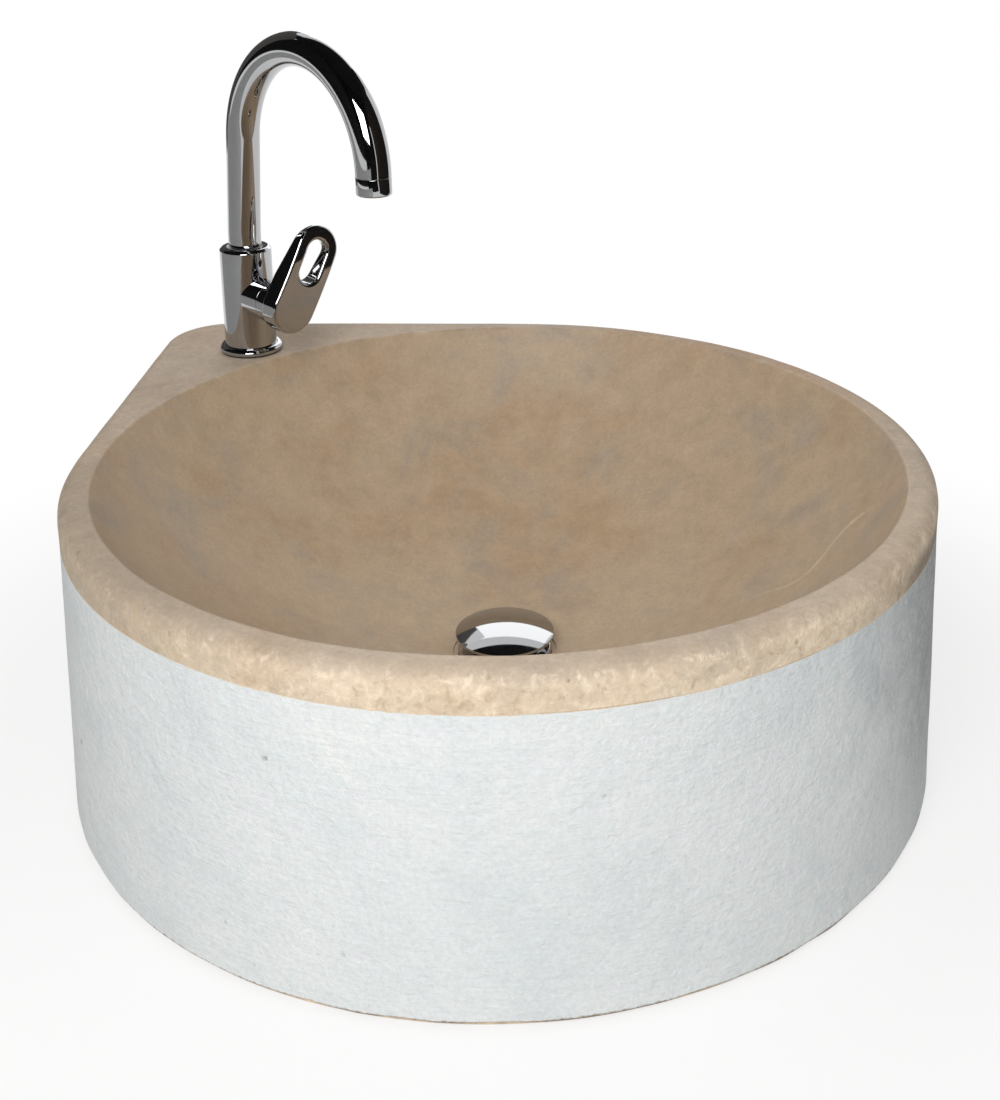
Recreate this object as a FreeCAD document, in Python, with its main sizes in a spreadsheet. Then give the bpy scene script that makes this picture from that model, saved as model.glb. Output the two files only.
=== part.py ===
import FreeCAD, Part
import math
import os
import Sketcher

# Concrete corner sink with a swivel spout, a loop lever and a press-to-close waste.
# Millimetres. The origin is the centre of the round bowl on the base plane, with Z up.
# The two straight sides are at -X and +Y, and the faucet stands in the corner between them.

doc = FreeCAD.newDocument("concrete_sink")
sheet = doc.addObject("Spreadsheet::Sheet", "Sizes")

driving_sizes = [
    # basin
    ("basin_height", 197.0),
    ("rim_radius", 270.0),
    ("corner_radius", 48.0),
    ("rim_outer_round", 10.0),
    ("rim_inner_round", 3.0),
    ("rim_height", 21.5),
    ("coat_thickness", 2.5),
    ("coat_bottom", 2.0),
    ("base_flare", 5.4),
    ("bowl_sphere_radius", 293.0),
    ("bowl_shell", 26.0),
    ("skirt_wall", 25.0),
    ("deck_thickness", 32.0),
    ("bowl_part_inset", 30.0),
    ("deck_part_inset", 10.0),
    # waste
    ("drain_seat_height", 55.0),
    ("drain_recess_radius", 34.0),
    ("drain_floor_thickness", 20.0),
    ("drain_recess_below_radius", 45.0),
    ("drain_hole_clearance", 1.5),
    ("waste_thread_radius", 20.95),
    ("waste_bore_radius", 17.0),
    ("waste_ledge_radius", 15.5),
    ("waste_ledge_height", 34.0),
    ("waste_tail_height", 6.0),
    ("waste_relief_depth", 0.6),
    ("waste_relief_width", 1.0),
    ("waste_flange_radius", 31.0),
    ("waste_flange_thickness", 2.5),
    ("waste_funnel_radius", 20.5),
    ("waste_funnel_depth", 9.5),
    ("upper_seal_thickness", 2.0),
    ("lower_seal_thickness", 3.0),
    ("lower_seal_radius", 31.0),
    ("backnut_height", 9.0),
    ("backnut_circumradius", 31.0),
    ("guide_ring_width", 3.4),
    ("guide_ring_height", 4.0),
    ("guide_arm_width", 4.0),
    ("guide_hub_radius", 5.2),
    ("guide_hub_above", 6.0),
    ("guide_hub_below", 8.0),
    ("plug_stem_radius", 3.0),
    ("plug_collar_radius", 4.6),
    ("plug_collar_height", 3.0),
    ("plug_stem_tail", 2.0),
    ("plug_cap_radius", 32.2),
    ("plug_cap_edge", 2.4),
    ("plug_dome_rise", 5.0),
    ("plug_cap_lift", 7.5),
    ("plug_travel", 7.0),
    ("plug_spigot_radius", 16.5),
    ("plug_spigot_depth", 5.5),
    ("plug_boss_radius", 5.0),
    ("plug_boss_depth", 7.0),
    ("plug_thread_depth", 6.0),
    ("plug_seal_height", 3.0),
    ("plug_seal_gap", 0.3),
    ("spring_wire", 1.1),
    ("spring_radius", 6.2),
    ("spring_turns", 4.0),
    # faucet body
    ("faucet_edge_distance", 71.5),
    ("faucet_direction", 45.0),
    ("deck_hole_radius", 17.5),
    ("clamp_spot_radius", 27.0),
    ("base_seal_thickness", 1.2),
    ("base_ring_radius", 23.0),
    ("base_ring_height", 5.0),
    ("base_ring_bevel", 2.0),
    ("faucet_radius", 19.0),
    ("faucet_height", 81.0),
    ("faucet_top_bevel", 2.0),
    ("shank_radius", 15.5),
    ("shank_depth", 12.0),
    ("inlet_thread_radius", 4.55),
    ("inlet_thread_depth", 12.0),
    ("inlet_bore_radius", 3.2),
    ("inlet_forward", 4.0),
    ("inlet_spread", 7.0),
    ("stud_radius", 4.0),
    ("stud_back", 9.0),
    ("stud_grip", 10.0),
    ("stud_tail", 8.0),
    ("clamp_radius", 25.0),
    ("clamp_opening_half", 12.2),
    ("clamp_opening_start", 1.0),
    ("clamp_gasket_thickness", 2.5),
    ("clamp_plate_thickness", 2.5),
    ("clamp_nut_height", 10.0),
    ("clamp_nut_circumradius", 7.5),
    # spout
    ("spout_bore_radius", 13.0),
    ("spout_bore_depth", 23.5),
    ("spout_tail_radius", 11.0),
    ("spout_tail_bottom_gap", 1.5),
    ("slip_ring_height", 3.5),
    ("slip_ring_top_gap", 1.0),
    ("o_ring_gland", 1.4),
    ("o_ring_spacing", 9.0),
    ("spout_groove_radius", 9.0),
    ("spout_groove_width", 3.6),
    ("spout_screw_radius", 1.5),
    ("spout_screw_tip_gap", 0.5),
    ("tube_radius", 12.0),
    ("tube_wall", 1.5),
    ("tube_start_above", 0.5),
    ("tube_nipple_length", 9.0),
    ("tube_nipple_bore", 7.0),
    ("neck_straight", 4.0),
    ("neck_lean", 5.0),
    ("neck_bend_radius", 120.0),
    ("neck_length", 69.0),
    ("arch_radius", 76.0),
    ("aerator_height", 12.0),
    ("aerator_nipple", 3.0),
    ("aerator_wall", 2.4),
    ("aerator_lip", 1.0),
    ("aerator_insert_height", 8.0),
    ("aerator_hole_radius", 0.9),
    ("aerator_hole_pitch", 2.8),
    ("aerator_washer_thickness", 1.0),
    ("aerator_washer_bore", 6.5),
    # lever and cartridge, along the boss from the faucet's axis
    ("boss_drop", 37.0),
    ("boss_radius", 15.0),
    ("boss_length", 32.0),
    ("boss_floor", 14.0),
    ("cartridge_radius", 12.5),
    ("cartridge_wall", 1.6),
    ("cartridge_shoulder", 26.0),
    ("cartridge_neck_radius", 11.2),
    ("cartridge_length", 20.0),
    ("cartridge_lip_radius", 9.2),
    ("cartridge_lip", 1.0),
    ("face_seal_thickness", 1.0),
    ("disc_thickness", 3.5),
    ("moving_disc_thickness", 3.0),
    ("moving_disc_radius", 8.0),
    ("port_radius", 2.4),
    ("port_side", 5.0),
    ("port_drop", 4.0),
    ("port_rise", 6.0),
    ("holder_plate", 2.5),
    ("holder_radius", 7.4),
    ("holder_block", 3.4),
    ("holder_block_width", 4.0),
    ("holder_block_length", 4.6),
    ("holder_slot", 2.3),
    ("pivot_distance", 36.0),
    ("pivot_pin_radius", 1.5),
    ("stem_tip_distance", 9.6),
    ("stem_tip_radius", 2.0),
    ("stem_tail_radius", 1.3),
    ("stem_block_height", 4.5),
    ("stem_block_width", 2.5),
    ("stem_block_back", 4.5),
    ("stem_block_front", 6.4),
    ("stem_radius", 4.0),
    ("carrier_pocket", 7.4),
    ("carrier_front", 5.0),
    ("nut_radius", 13.6),
    ("nut_bore", 11.4),
    ("nut_length", 11.0),
    ("sleeve_gap", 0.5),
    ("sleeve_dome_radius", 16.2),
    ("sleeve_wall", 2.0),
    ("sleeve_opening", 10.5),
    ("lever_turn_at_rest", 31.0),
    ("lever_lift_max", 20.0),
    ("lever_radius", 18.0),
    ("lever_length", 47.0),
    ("lever_front", 60.0),
    ("lever_tip_thickness", 8.0),
    ("lever_edge_round", 2.5),
    ("lever_dome_gap", 0.7),
    ("lever_rim_gap", 0.2),
    ("lever_slot_radius", 8.5),
    ("lever_slot_start", 29.5),
    ("lever_slot_end", 45.5),
    ("lever_taper_start", 18.5),
    ("lever_socket_floor", 1.6),
    ("lever_screw_radius", 2.0),
    ("lever_screw_length", 8.0),
    ("lever_plug_radius", 2.4),
    ("lever_plug_depth", 3.0),
    # clearances
    ("running_clearance", 0.05),
    ("fit_clearance", 0.1),
    ("free_clearance", 0.3),
    ("disc_gap", 0.02),
]

for row, (alias, value) in enumerate(driving_sizes, start=1):
    sheet.set("A%d" % row, alias)
    sheet.set("B%d" % row, str(value))
    sheet.setAlias("B%d" % row, alias)
doc.recompute()


class Size:
    """A number together with the sheet formula that gives it."""

    def __init__(self, value, formula):
        self.value = float(value)
        self.formula = formula

    def __add__(self, other):
        other = as_size(other)
        return Size(self.value + other.value, "(%s + %s)" % (self.formula, other.formula))

    def __sub__(self, other):
        other = as_size(other)
        return Size(self.value - other.value, "(%s - %s)" % (self.formula, other.formula))

    def __mul__(self, other):
        other = as_size(other)
        return Size(self.value * other.value, "(%s * %s)" % (self.formula, other.formula))

    def __truediv__(self, other):
        other = as_size(other)
        return Size(self.value / other.value, "(%s / %s)" % (self.formula, other.formula))

    def __neg__(self):
        return Size(-self.value, "(0 - %s)" % self.formula)

    def __radd__(self, other):
        return as_size(other) + self

    def __rsub__(self, other):
        return as_size(other) - self

    def __rmul__(self, other):
        return as_size(other) * self


def as_size(number):
    return number if isinstance(number, Size) else Size(number, repr(float(number)))


def leg(hypotenuse, side):
    """The other short side of a right triangle."""
    square = hypotenuse * hypotenuse - as_size(side) * side
    return Size(math.sqrt(square.value), "sqrt(%s)" % square.formula)


def cosine(angle):
    return Size(math.cos(math.radians(angle.value)), "cos(%s)" % angle.formula)


def sine(angle):
    return Size(math.sin(math.radians(angle.value)), "sin(%s)" % angle.formula)


class Sizes:
    """The sheet's cells by their alias."""


s = Sizes()
for alias, value in driving_sizes:
    setattr(s, alias, Size(value, "Sizes." + alias))


# Helpers for bodies, sketches and primitives

upright = FreeCAD.Rotation()
along_x = FreeCAD.Rotation(FreeCAD.Vector(0, 1, 0), 90)
along_y = FreeCAD.Rotation(FreeCAD.Vector(1, 0, 0), -90)
pieces = {}


def bind(thing, path, size):
    if isinstance(size, Size):
        thing.setExpression(path, size.formula)


def place(thing, at, turn=upright):
    """Puts an object at a point whose coordinates follow the sheet."""
    x, y, z = (as_size(value) for value in at)
    thing.Placement = FreeCAD.Placement(FreeCAD.Vector(x.value, y.value, z.value), turn)
    for axis, size in zip("xyz", (x, y, z)):
        bind(thing, "Placement.Base." + axis, size)


def keep(label, thing, at=(0, 0, 0), turn=upright):
    """Names a finished piece and puts it in the assembly."""
    place(thing, at, turn)
    thing.Label = label
    pieces[label] = thing
    return thing


def new_body(name):
    return doc.addObject("PartDesign::Body", name)


def new_sketch(body, role, height=None):
    """A sketch on one of the body's own planes, or at a height above it."""
    sketch = body.newObject("Sketcher::SketchObject", body.Name + "_sketch")
    plane = [feature for feature in body.Origin.OriginFeatures if feature.Role == role][0]
    sketch.AttachmentSupport = [(plane, "")]
    sketch.MapMode = "FlatFace"
    if height is not None:
        sketch.AttachmentOffset = FreeCAD.Placement(FreeCAD.Vector(0, 0, as_size(height).value), upright)
        bind(sketch, "AttachmentOffset.Base.z", height)
    return sketch


def hold_point(sketch, edge, end, x, y):
    """Ties a sketch point to its two coordinates."""
    for kind, axis, size in (("DistanceX", -2, as_size(x)), ("DistanceY", -1, as_size(y))):
        if size.value == 0:
            sketch.addConstraint(Sketcher.Constraint("PointOnObject", edge, end, axis))
            continue
        index = sketch.addConstraint(Sketcher.Constraint(kind, -1, 1, edge, end, size.value))
        bind(sketch, "Constraints[%d]" % index, size)


def hold_radius(sketch, edge, radius):
    radius = as_size(radius)
    index = sketch.addConstraint(Sketcher.Constraint("Radius", edge, radius.value))
    bind(sketch, "Constraints[%d]" % index, radius)


def arc_between(start, end, radius, turn):
    """The short arc from one point to another. A turn of 1 is anticlockwise and -1 clockwise."""
    chord = end - start
    side = FreeCAD.Vector(-chord.y, chord.x, 0).normalize()
    middle = (start + end) * 0.5
    centre = middle + side * (turn * math.sqrt(max(radius ** 2 - chord.Length ** 2 / 4, 0.0)))
    first, last = (start, end) if turn > 0 else (end, start)
    begin = math.atan2(first.y - centre.y, first.x - centre.x)
    finish = math.atan2(last.y - centre.y, last.x - centre.x)
    if finish <= begin:
        finish += 2 * math.pi
    return Part.ArcOfCircle(Part.Circle(centre, FreeCAD.Vector(0, 0, 1), radius), begin, finish)


def draw(sketch, corners, closed=True):
    """Draws a line of edges. A corner is (x, y), or (x, y, radius, turn) where an arc arrives."""
    points = [FreeCAD.Vector(as_size(c[0]).value, as_size(c[1]).value, 0) for c in corners]
    count = len(corners)
    edges = []
    for index in range(count if closed else count - 1):
        after = corners[(index + 1) % count]
        start, end = points[index], points[(index + 1) % count]
        if len(after) == 2:
            edges.append((sketch.addGeometry(Part.LineSegment(start, end)), 1, 2))
            continue
        turn = after[3]
        arc = sketch.addGeometry(arc_between(start, end, as_size(after[2]).value, turn))
        edges.append((arc, 1, 2) if turn > 0 else (arc, 2, 1))
        hold_radius(sketch, arc, after[2])
    for index, (edge, first, last) in enumerate(edges):
        hold_point(sketch, edge, first, corners[index][0], corners[index][1])
        if index + 1 < len(edges) or closed:
            following = edges[(index + 1) % len(edges)]
            sketch.addConstraint(Sketcher.Constraint("Coincident", edge, last, following[0], following[1]))
        else:
            hold_point(sketch, edge, last, corners[-1][0], corners[-1][1])


def draw_circle(sketch, x, y, radius):
    centre = FreeCAD.Vector(as_size(x).value, as_size(y).value, 0)
    circle = sketch.addGeometry(Part.Circle(centre, FreeCAD.Vector(0, 0, 1), as_size(radius).value))
    hold_point(sketch, circle, 3, x, y)
    hold_radius(sketch, circle, radius)


def turned(name, corners, axis="V_Axis"):
    """A turned piece: corners are (radius, height), or (distance, radius) about the H_Axis."""
    body = new_body(name)
    sketch = new_sketch(body, "XZ_Plane")
    draw(sketch, corners)
    feature = body.newObject("PartDesign::Revolution", name + "_turned")
    feature.Profile = sketch
    feature.ReferenceAxis = (sketch, [axis])
    feature.Angle = 360
    return body


def pad(body, sketch, length):
    feature = body.newObject("PartDesign::Pad", body.Name + "_pad")
    feature.Profile = sketch
    feature.Length = as_size(length).value
    bind(feature, "Length", length)
    return feature


def ring(name, outer, inner, bottom, top):
    return turned(name, [(inner, bottom), (outer, bottom), (outer, top), (inner, top)])


def rod(name, radius, length, at=(0, 0, 0), turn=upright):
    thing = doc.addObject("Part::Cylinder", name)
    thing.Radius = as_size(radius).value
    thing.Height = as_size(length).value
    bind(thing, "Radius", radius)
    bind(thing, "Height", length)
    place(thing, at, turn)
    return thing


def block(name, low, high):
    """A box between two corners."""
    thing = doc.addObject("Part::Box", name)
    for side, first, last in zip(("Length", "Width", "Height"), low, high):
        size = as_size(last) - first
        setattr(thing, side, size.value)
        bind(thing, side, size)
    place(thing, low)
    return thing


def ball(name, radius, at):
    thing = doc.addObject("Part::Sphere", name)
    thing.Radius = as_size(radius).value
    bind(thing, "Radius", radius)
    place(thing, at)
    return thing


def prism(name, circumradius, height, at):
    thing = doc.addObject("Part::Prism", name)
    thing.Polygon = 6
    thing.Circumradius = as_size(circumradius).value
    thing.Height = as_size(height).value
    bind(thing, "Circumradius", circumradius)
    bind(thing, "Height", height)
    place(thing, at)
    return thing


def fuse(name, things):
    result = doc.addObject("Part::MultiFuse", name)
    result.Shapes = things
    return result


def common(name, base, tool):
    result = doc.addObject("Part::Common", name)
    result.Base = base
    result.Tool = tool
    return result


def gathered(name, things):
    """Holds the solids of one piece, so that its placement stays apart from theirs."""
    holder = doc.addObject("Part::Compound", name)
    holder.Links = things
    return holder


def cut(name, base, tools):
    result = doc.addObject("Part::Cut", name)
    result.Base = base
    result.Tool = tools[0] if len(tools) == 1 else fuse(name + "_tools", tools)
    return result


# Basin: a hollow concrete casting with a thin white coat below its rim

bowl_centre = s.drain_seat_height + 1 + leg(s.bowl_sphere_radius, s.drain_recess_radius)
deck_under = s.basin_height - s.deck_thickness
coat_height = s.basin_height - s.rim_height
faucet_inset = s.rim_radius - s.faucet_edge_distance
faucet_at = (-faucet_inset, faucet_inset)


def plan_outline(sketch, radius, corner):
    """Draws the round plan with its square back-left corner, clockwise from the left."""
    corners = [
        (-radius, 0, radius, -1),
        (-radius, radius - corner),
        (corner - radius, radius, corner, -1),
        (0, radius),
        (radius, 0, radius, -1),
        (0, -radius, radius, -1),
    ]
    draw(sketch, corners)


def flared_loft(body, kind, inset):
    """Lofts the wall's plan from the wider base to the rim's underside, set in by a distance."""
    base = new_sketch(body, "XY_Plane")
    plan_outline(base, s.rim_radius + s.base_flare - inset, s.corner_radius + s.base_flare - inset)
    top = new_sketch(body, "XY_Plane", coat_height)
    plan_outline(top, s.rim_radius - inset, s.corner_radius - inset)
    feature = body.newObject(kind, body.Name + "_loft")
    feature.Profile = base
    feature.Sections = [top]
    feature.Ruled = True
    return feature


def edges_at_height(shape, height):
    """Names of the level edges that lie at a height."""
    names = []
    for number, edge in enumerate(shape.Edges, start=1):
        box = edge.BoundBox
        if abs(box.ZMin - height) < 1e-4 and abs(box.ZMax - height) < 1e-4:
            names.append("Edge%d" % number)
    return names


def make_basin_casting():
    body = new_body("casting_core")
    flared_loft(body, "PartDesign::AdditiveLoft", s.coat_thickness)
    rim = new_sketch(body, "XY_Plane", coat_height)
    plan_outline(rim, s.rim_radius, s.corner_radius)
    rim_pad = pad(body, rim, s.rim_height)
    doc.recompute()
    rounding = body.newObject("PartDesign::Fillet", "rim_rounding")
    rounding.Base = (rim_pad, edges_at_height(rim_pad.Shape, s.basin_height.value))
    rounding.Radius = s.rim_outer_round.value
    bind(rounding, "Radius", s.rim_outer_round)

    reach = s.bowl_sphere_radius + s.rim_inner_round
    drop = bowl_centre - s.basin_height + s.rim_inner_round
    round_at = leg(reach, drop)
    share = s.bowl_sphere_radius / reach
    above = s.basin_height + s.rim_outer_round
    bowl = new_sketch(body, "XZ_Plane")
    draw(bowl, [
        (0, s.drain_seat_height),
        (s.drain_recess_radius, s.drain_seat_height),
        (s.drain_recess_radius, s.drain_seat_height + 1),
        (round_at * share, bowl_centre - drop * share, s.bowl_sphere_radius, 1),
        (round_at, s.basin_height, s.rim_inner_round, -1),
        (round_at, above),
        (0, above),
    ])
    hollow = body.newObject("PartDesign::Groove", "bowl_hollow")
    hollow.Profile = bowl
    hollow.ReferenceAxis = (bowl, ["V_Axis"])
    hollow.Angle = 360

    room = new_body("underside_room")
    floor_plan = new_sketch(room, "XY_Plane")
    plan_outline(floor_plan, s.rim_radius - s.skirt_wall, s.corner_radius - s.skirt_wall)
    pad(room, floor_plan, deck_under)
    shell = ball("bowl_shell_outside", s.bowl_sphere_radius + s.bowl_shell, (0, 0, bowl_centre))
    hole_radius = s.waste_thread_radius + s.drain_hole_clearance
    spot_at = faucet_at + (deck_under - s.deck_thickness,)
    tools = [
        cut("underside", room, [shell]),
        rod("clamp_spot", s.clamp_spot_radius, s.deck_thickness, spot_at),
        rod("drain_spot", s.drain_recess_below_radius, drain_under),
        rod("drain_hole", hole_radius, s.basin_height),
        rod("deck_hole", s.deck_hole_radius, s.basin_height, faucet_at + (0,)),
    ]
    keep_parted(cut("casting", body, tools))


def keep_parted(casting):
    """Parts the casting into the quarters of its bowl, its deck and its skirt, which lie face to face."""
    top = s.basin_height * 2
    bowl_reach = s.rim_radius - s.bowl_part_inset
    reach = bowl_reach + 1
    bowl_zone = rod("bowl_zone", bowl_reach, top)
    bowl = common("casting_bowl", casting, bowl_zone)
    quarters = []
    for number, (x, y) in enumerate(((0, 0), (-reach, 0), (-reach, -reach), (0, -reach)), start=1):
        zone = block("bowl_zone_%d" % number, (x, y, 0), (as_size(x) + reach, as_size(y) + reach, top))
        quarters.append(common("bowl_quarter_%d" % number, bowl, zone))
    keep("basin_bowl", gathered("bowl_parts", quarters))
    side = s.rim_radius - s.skirt_wall
    corner = block("deck_corner", (-side, 0, deck_under), (0, side, top))
    deck_zone = cut("deck_zone", corner, [rod("deck_inside", s.rim_radius - s.deck_part_inset, top)])
    keep("basin_casting", gathered("casting_parts", [
        common("casting_deck", casting, deck_zone),
        cut("casting_skirt", casting, [bowl_zone, deck_zone]),
    ]))


def make_outer_coat():
    body = new_body("coat")
    flared_loft(body, "PartDesign::AdditiveLoft", 0)
    flared_loft(body, "PartDesign::SubtractiveLoft", s.coat_thickness)
    edge = new_sketch(body, "XY_Plane")
    draw_circle(edge, 0, 0, s.rim_radius * 2)
    trim = body.newObject("PartDesign::Pocket", "coat_trim")
    trim.Profile = edge
    trim.Reversed = True
    trim.Length = s.coat_bottom.value
    bind(trim, "Length", s.coat_bottom)
    keep("outer_coat", body)


# Waste: flanged body clamped through the bowl's floor, with a sprung press plug

flange_under = s.drain_seat_height + s.upper_seal_thickness
flange_top = flange_under + s.waste_flange_thickness
drain_under = s.drain_seat_height - s.drain_floor_thickness
lower_seal_under = drain_under - s.lower_seal_thickness
backnut_under = lower_seal_under - s.backnut_height
guide_top = s.waste_ledge_height + s.guide_ring_height
hub_top = guide_top + s.guide_hub_above
hub_bottom = s.waste_ledge_height - s.guide_hub_below
cap_under = flange_top + s.plug_cap_lift
cap_boss_under = cap_under - s.plug_boss_depth


def make_waste():
    funnel_bottom = flange_top - s.waste_funnel_depth
    keep("drain_body", turned("drain_body", [
        (s.waste_ledge_radius, s.waste_tail_height),
        (s.waste_thread_radius, s.waste_tail_height),
        (s.waste_thread_radius, backnut_under - s.waste_relief_width),
        (s.waste_thread_radius - s.waste_relief_depth, backnut_under - s.waste_relief_width),
        (s.waste_thread_radius - s.waste_relief_depth, backnut_under),
        (s.waste_thread_radius, backnut_under),
        (s.waste_thread_radius, flange_under),
        (s.waste_flange_radius, flange_under),
        (s.waste_flange_radius, flange_top - s.waste_flange_thickness / 2),
        (s.waste_flange_radius - s.waste_flange_thickness / 2, flange_top),
        (s.waste_funnel_radius, flange_top),
        (s.waste_bore_radius, funnel_bottom),
        (s.waste_bore_radius, s.waste_ledge_height),
        (s.waste_ledge_radius, s.waste_ledge_height),
    ]))
    seal_bore = s.waste_thread_radius + s.fit_clearance
    seal_radius = s.waste_flange_radius - s.fit_clearance
    keep("drain_upper_seal", ring(
        "drain_upper_seal", seal_radius, seal_bore, s.drain_seat_height, flange_under))
    keep("drain_lower_seal", ring(
        "drain_lower_seal", s.lower_seal_radius, seal_bore, lower_seal_under, drain_under))
    nut = prism("backnut_blank", s.backnut_circumradius, s.backnut_height, (0, 0, backnut_under))
    nut_hole = rod("backnut_hole", s.waste_thread_radius, s.backnut_height, (0, 0, backnut_under))
    keep("drain_backnut", cut("backnut", nut, [nut_hole]))


def make_plug_guide():
    outer = s.waste_bore_radius - s.fit_clearance
    inner = outer - s.guide_ring_width
    rim = ring("guide_rim", outer, inner, s.waste_ledge_height, guide_top)
    hub = rod("guide_hub", s.guide_hub_radius, hub_top - hub_bottom, (0, 0, hub_bottom))
    arms = []
    for number in range(3):
        arm = doc.addObject("Part::Box", "guide_arm_%d" % number)
        arm.Length = (inner + s.guide_ring_width / 2).value
        arm.Width = s.guide_arm_width.value
        arm.Height = s.guide_ring_height.value
        bind(arm, "Length", inner + s.guide_ring_width / 2)
        bind(arm, "Width", s.guide_arm_width)
        bind(arm, "Height", s.guide_ring_height)
        turn = 120.0 * number
        spin = FreeCAD.Rotation(FreeCAD.Vector(0, 0, 1), turn)
        side = s.guide_arm_width / 2
        angle = math.radians(turn)
        place(arm, (side * math.sin(angle), side * -math.cos(angle), s.waste_ledge_height), spin)
        arms.append(arm)
    bore_radius = s.plug_stem_radius + s.running_clearance
    bore = rod("guide_bore", bore_radius, hub_top - hub_bottom, (0, 0, hub_bottom))
    keep("plug_guide", cut("guide", fuse("guide_blank", [rim, hub] + arms), [bore]))


def make_plug():
    dome_edge = cap_under + s.plug_cap_edge
    half_chord = s.plug_cap_radius
    dome_radius = (half_chord * half_chord + s.plug_dome_rise * s.plug_dome_rise) / (s.plug_dome_rise * 2)
    thread_top = cap_boss_under + s.plug_thread_depth
    keep("plug_cap", turned("plug_cap", [
        (0, thread_top),
        (s.plug_stem_radius, thread_top),
        (s.plug_stem_radius, cap_boss_under),
        (s.plug_boss_radius, cap_boss_under),
        (s.plug_boss_radius, cap_under - s.plug_spigot_depth),
        (s.plug_spigot_radius, cap_under - s.plug_spigot_depth),
        (s.plug_spigot_radius, cap_under),
        (s.plug_cap_radius, cap_under),
        (s.plug_cap_radius, dome_edge),
        (0, dome_edge + s.plug_dome_rise, dome_radius, 1),
    ]))
    collar_top = hub_bottom - s.free_clearance
    collar_bottom = collar_top - s.plug_collar_height
    keep("plug_stem", turned("plug_stem", [
        (0, collar_bottom - s.plug_stem_tail),
        (s.plug_stem_radius, collar_bottom - s.plug_stem_tail),
        (s.plug_stem_radius, thread_top),
        (0, thread_top),
    ]))
    keep("plug_stop_collar", ring(
        "plug_stop_collar", s.plug_collar_radius, s.plug_stem_radius, collar_bottom, collar_top))
    slope = (s.waste_funnel_radius - s.waste_bore_radius) / s.waste_funnel_depth
    seal_bottom = cap_under - s.plug_spigot_depth + 1
    closed_bottom = seal_bottom - s.plug_travel
    funnel_bottom = flange_top - s.waste_funnel_depth
    seal_foot = s.waste_bore_radius + (closed_bottom - funnel_bottom) * slope - s.plug_seal_gap
    seal_head = seal_foot + s.plug_seal_height * slope
    keep("plug_seal", turned("plug_seal", [
        (s.plug_spigot_radius, seal_bottom),
        (seal_foot, seal_bottom),
        (seal_head, seal_bottom + s.plug_seal_height),
        (s.plug_spigot_radius, seal_bottom + s.plug_seal_height),
    ]))


def biarc(start, start_way, end, end_way):
    """Two tangent arcs from one point and direction to another."""
    across = end - start
    ways = start_way + end_way
    spread = 2.0 * (1.0 - start_way.dot(end_way))
    along = across.dot(ways)
    reach = (math.sqrt(along ** 2 + spread * across.dot(across)) - along) / spread
    joint = (start + start_way * reach + end - end_way * reach) * 0.5
    return [tangent_arc(start, start_way, joint), tangent_arc(end, end_way * -1.0, joint)]


def tangent_arc(start, way, end):
    """The arc that leaves a point along a direction and arrives at another."""
    chord = end - start
    side = chord - way * chord.dot(way)
    side.normalize()
    radius = chord.dot(chord) / (2.0 * chord.dot(side))
    centre = start + side * radius
    middle = (start + end) * 0.5 - centre
    middle.normalize()
    return Part.Arc(start, centre + middle * radius, end).toShape()


def make_plug_spring():
    """A helical spring between the guide's hub and the cap's boss."""
    wire = s.spring_wire.value
    low = hub_top.value + wire / 2 + s.fit_clearance.value
    high = cap_boss_under.value - wire / 2 - s.fit_clearance.value
    radius = s.spring_radius.value - wire / 2
    rise = (high - low) / s.spring_turns.value
    quarters = int(round(s.spring_turns.value * 4))
    slope = rise / (2 * math.pi * radius)

    def on_helix(quarter):
        angle = quarter * math.pi / 2
        point = FreeCAD.Vector(radius * math.cos(angle), radius * math.sin(angle), low + rise * quarter / 4)
        way = FreeCAD.Vector(-math.sin(angle), math.cos(angle), slope)
        return point, way.normalize()

    edges = []
    for quarter in range(quarters):
        start, start_way = on_helix(quarter)
        end, end_way = on_helix(quarter + 1)
        edges += biarc(start, start_way, end, end_way)
    path = Part.Wire(Part.__sortEdges__(edges))
    start, start_way = on_helix(0)
    section = Part.Wire([Part.Circle(start, start_way, wire / 2).toShape()])
    tube = path.makePipeShell([section], True, False)
    print("plug spring: gap between turns %.2f mm" % (rise - wire))
    thing = doc.addObject("Part::Feature", "plug_spring")
    thing.Shape = tube
    keep("plug_spring", thing)


# Faucet: everything is drawn round its own axis, with X towards the drain and Z up from the deck

towards_drain = FreeCAD.Rotation(FreeCAD.Vector(0, 0, 1), -s.faucet_direction.value)
faucet_base = faucet_at + (s.basin_height,)
body_bottom = s.base_seal_thickness + s.base_ring_height
spout_bore_floor = s.faucet_height - s.spout_bore_depth
boss_height = s.faucet_height - s.boss_drop
ring_bore = s.shank_radius + s.fit_clearance


def keep_on_faucet(label, thing):
    return keep(label, thing, faucet_base, towards_drain)


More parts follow.
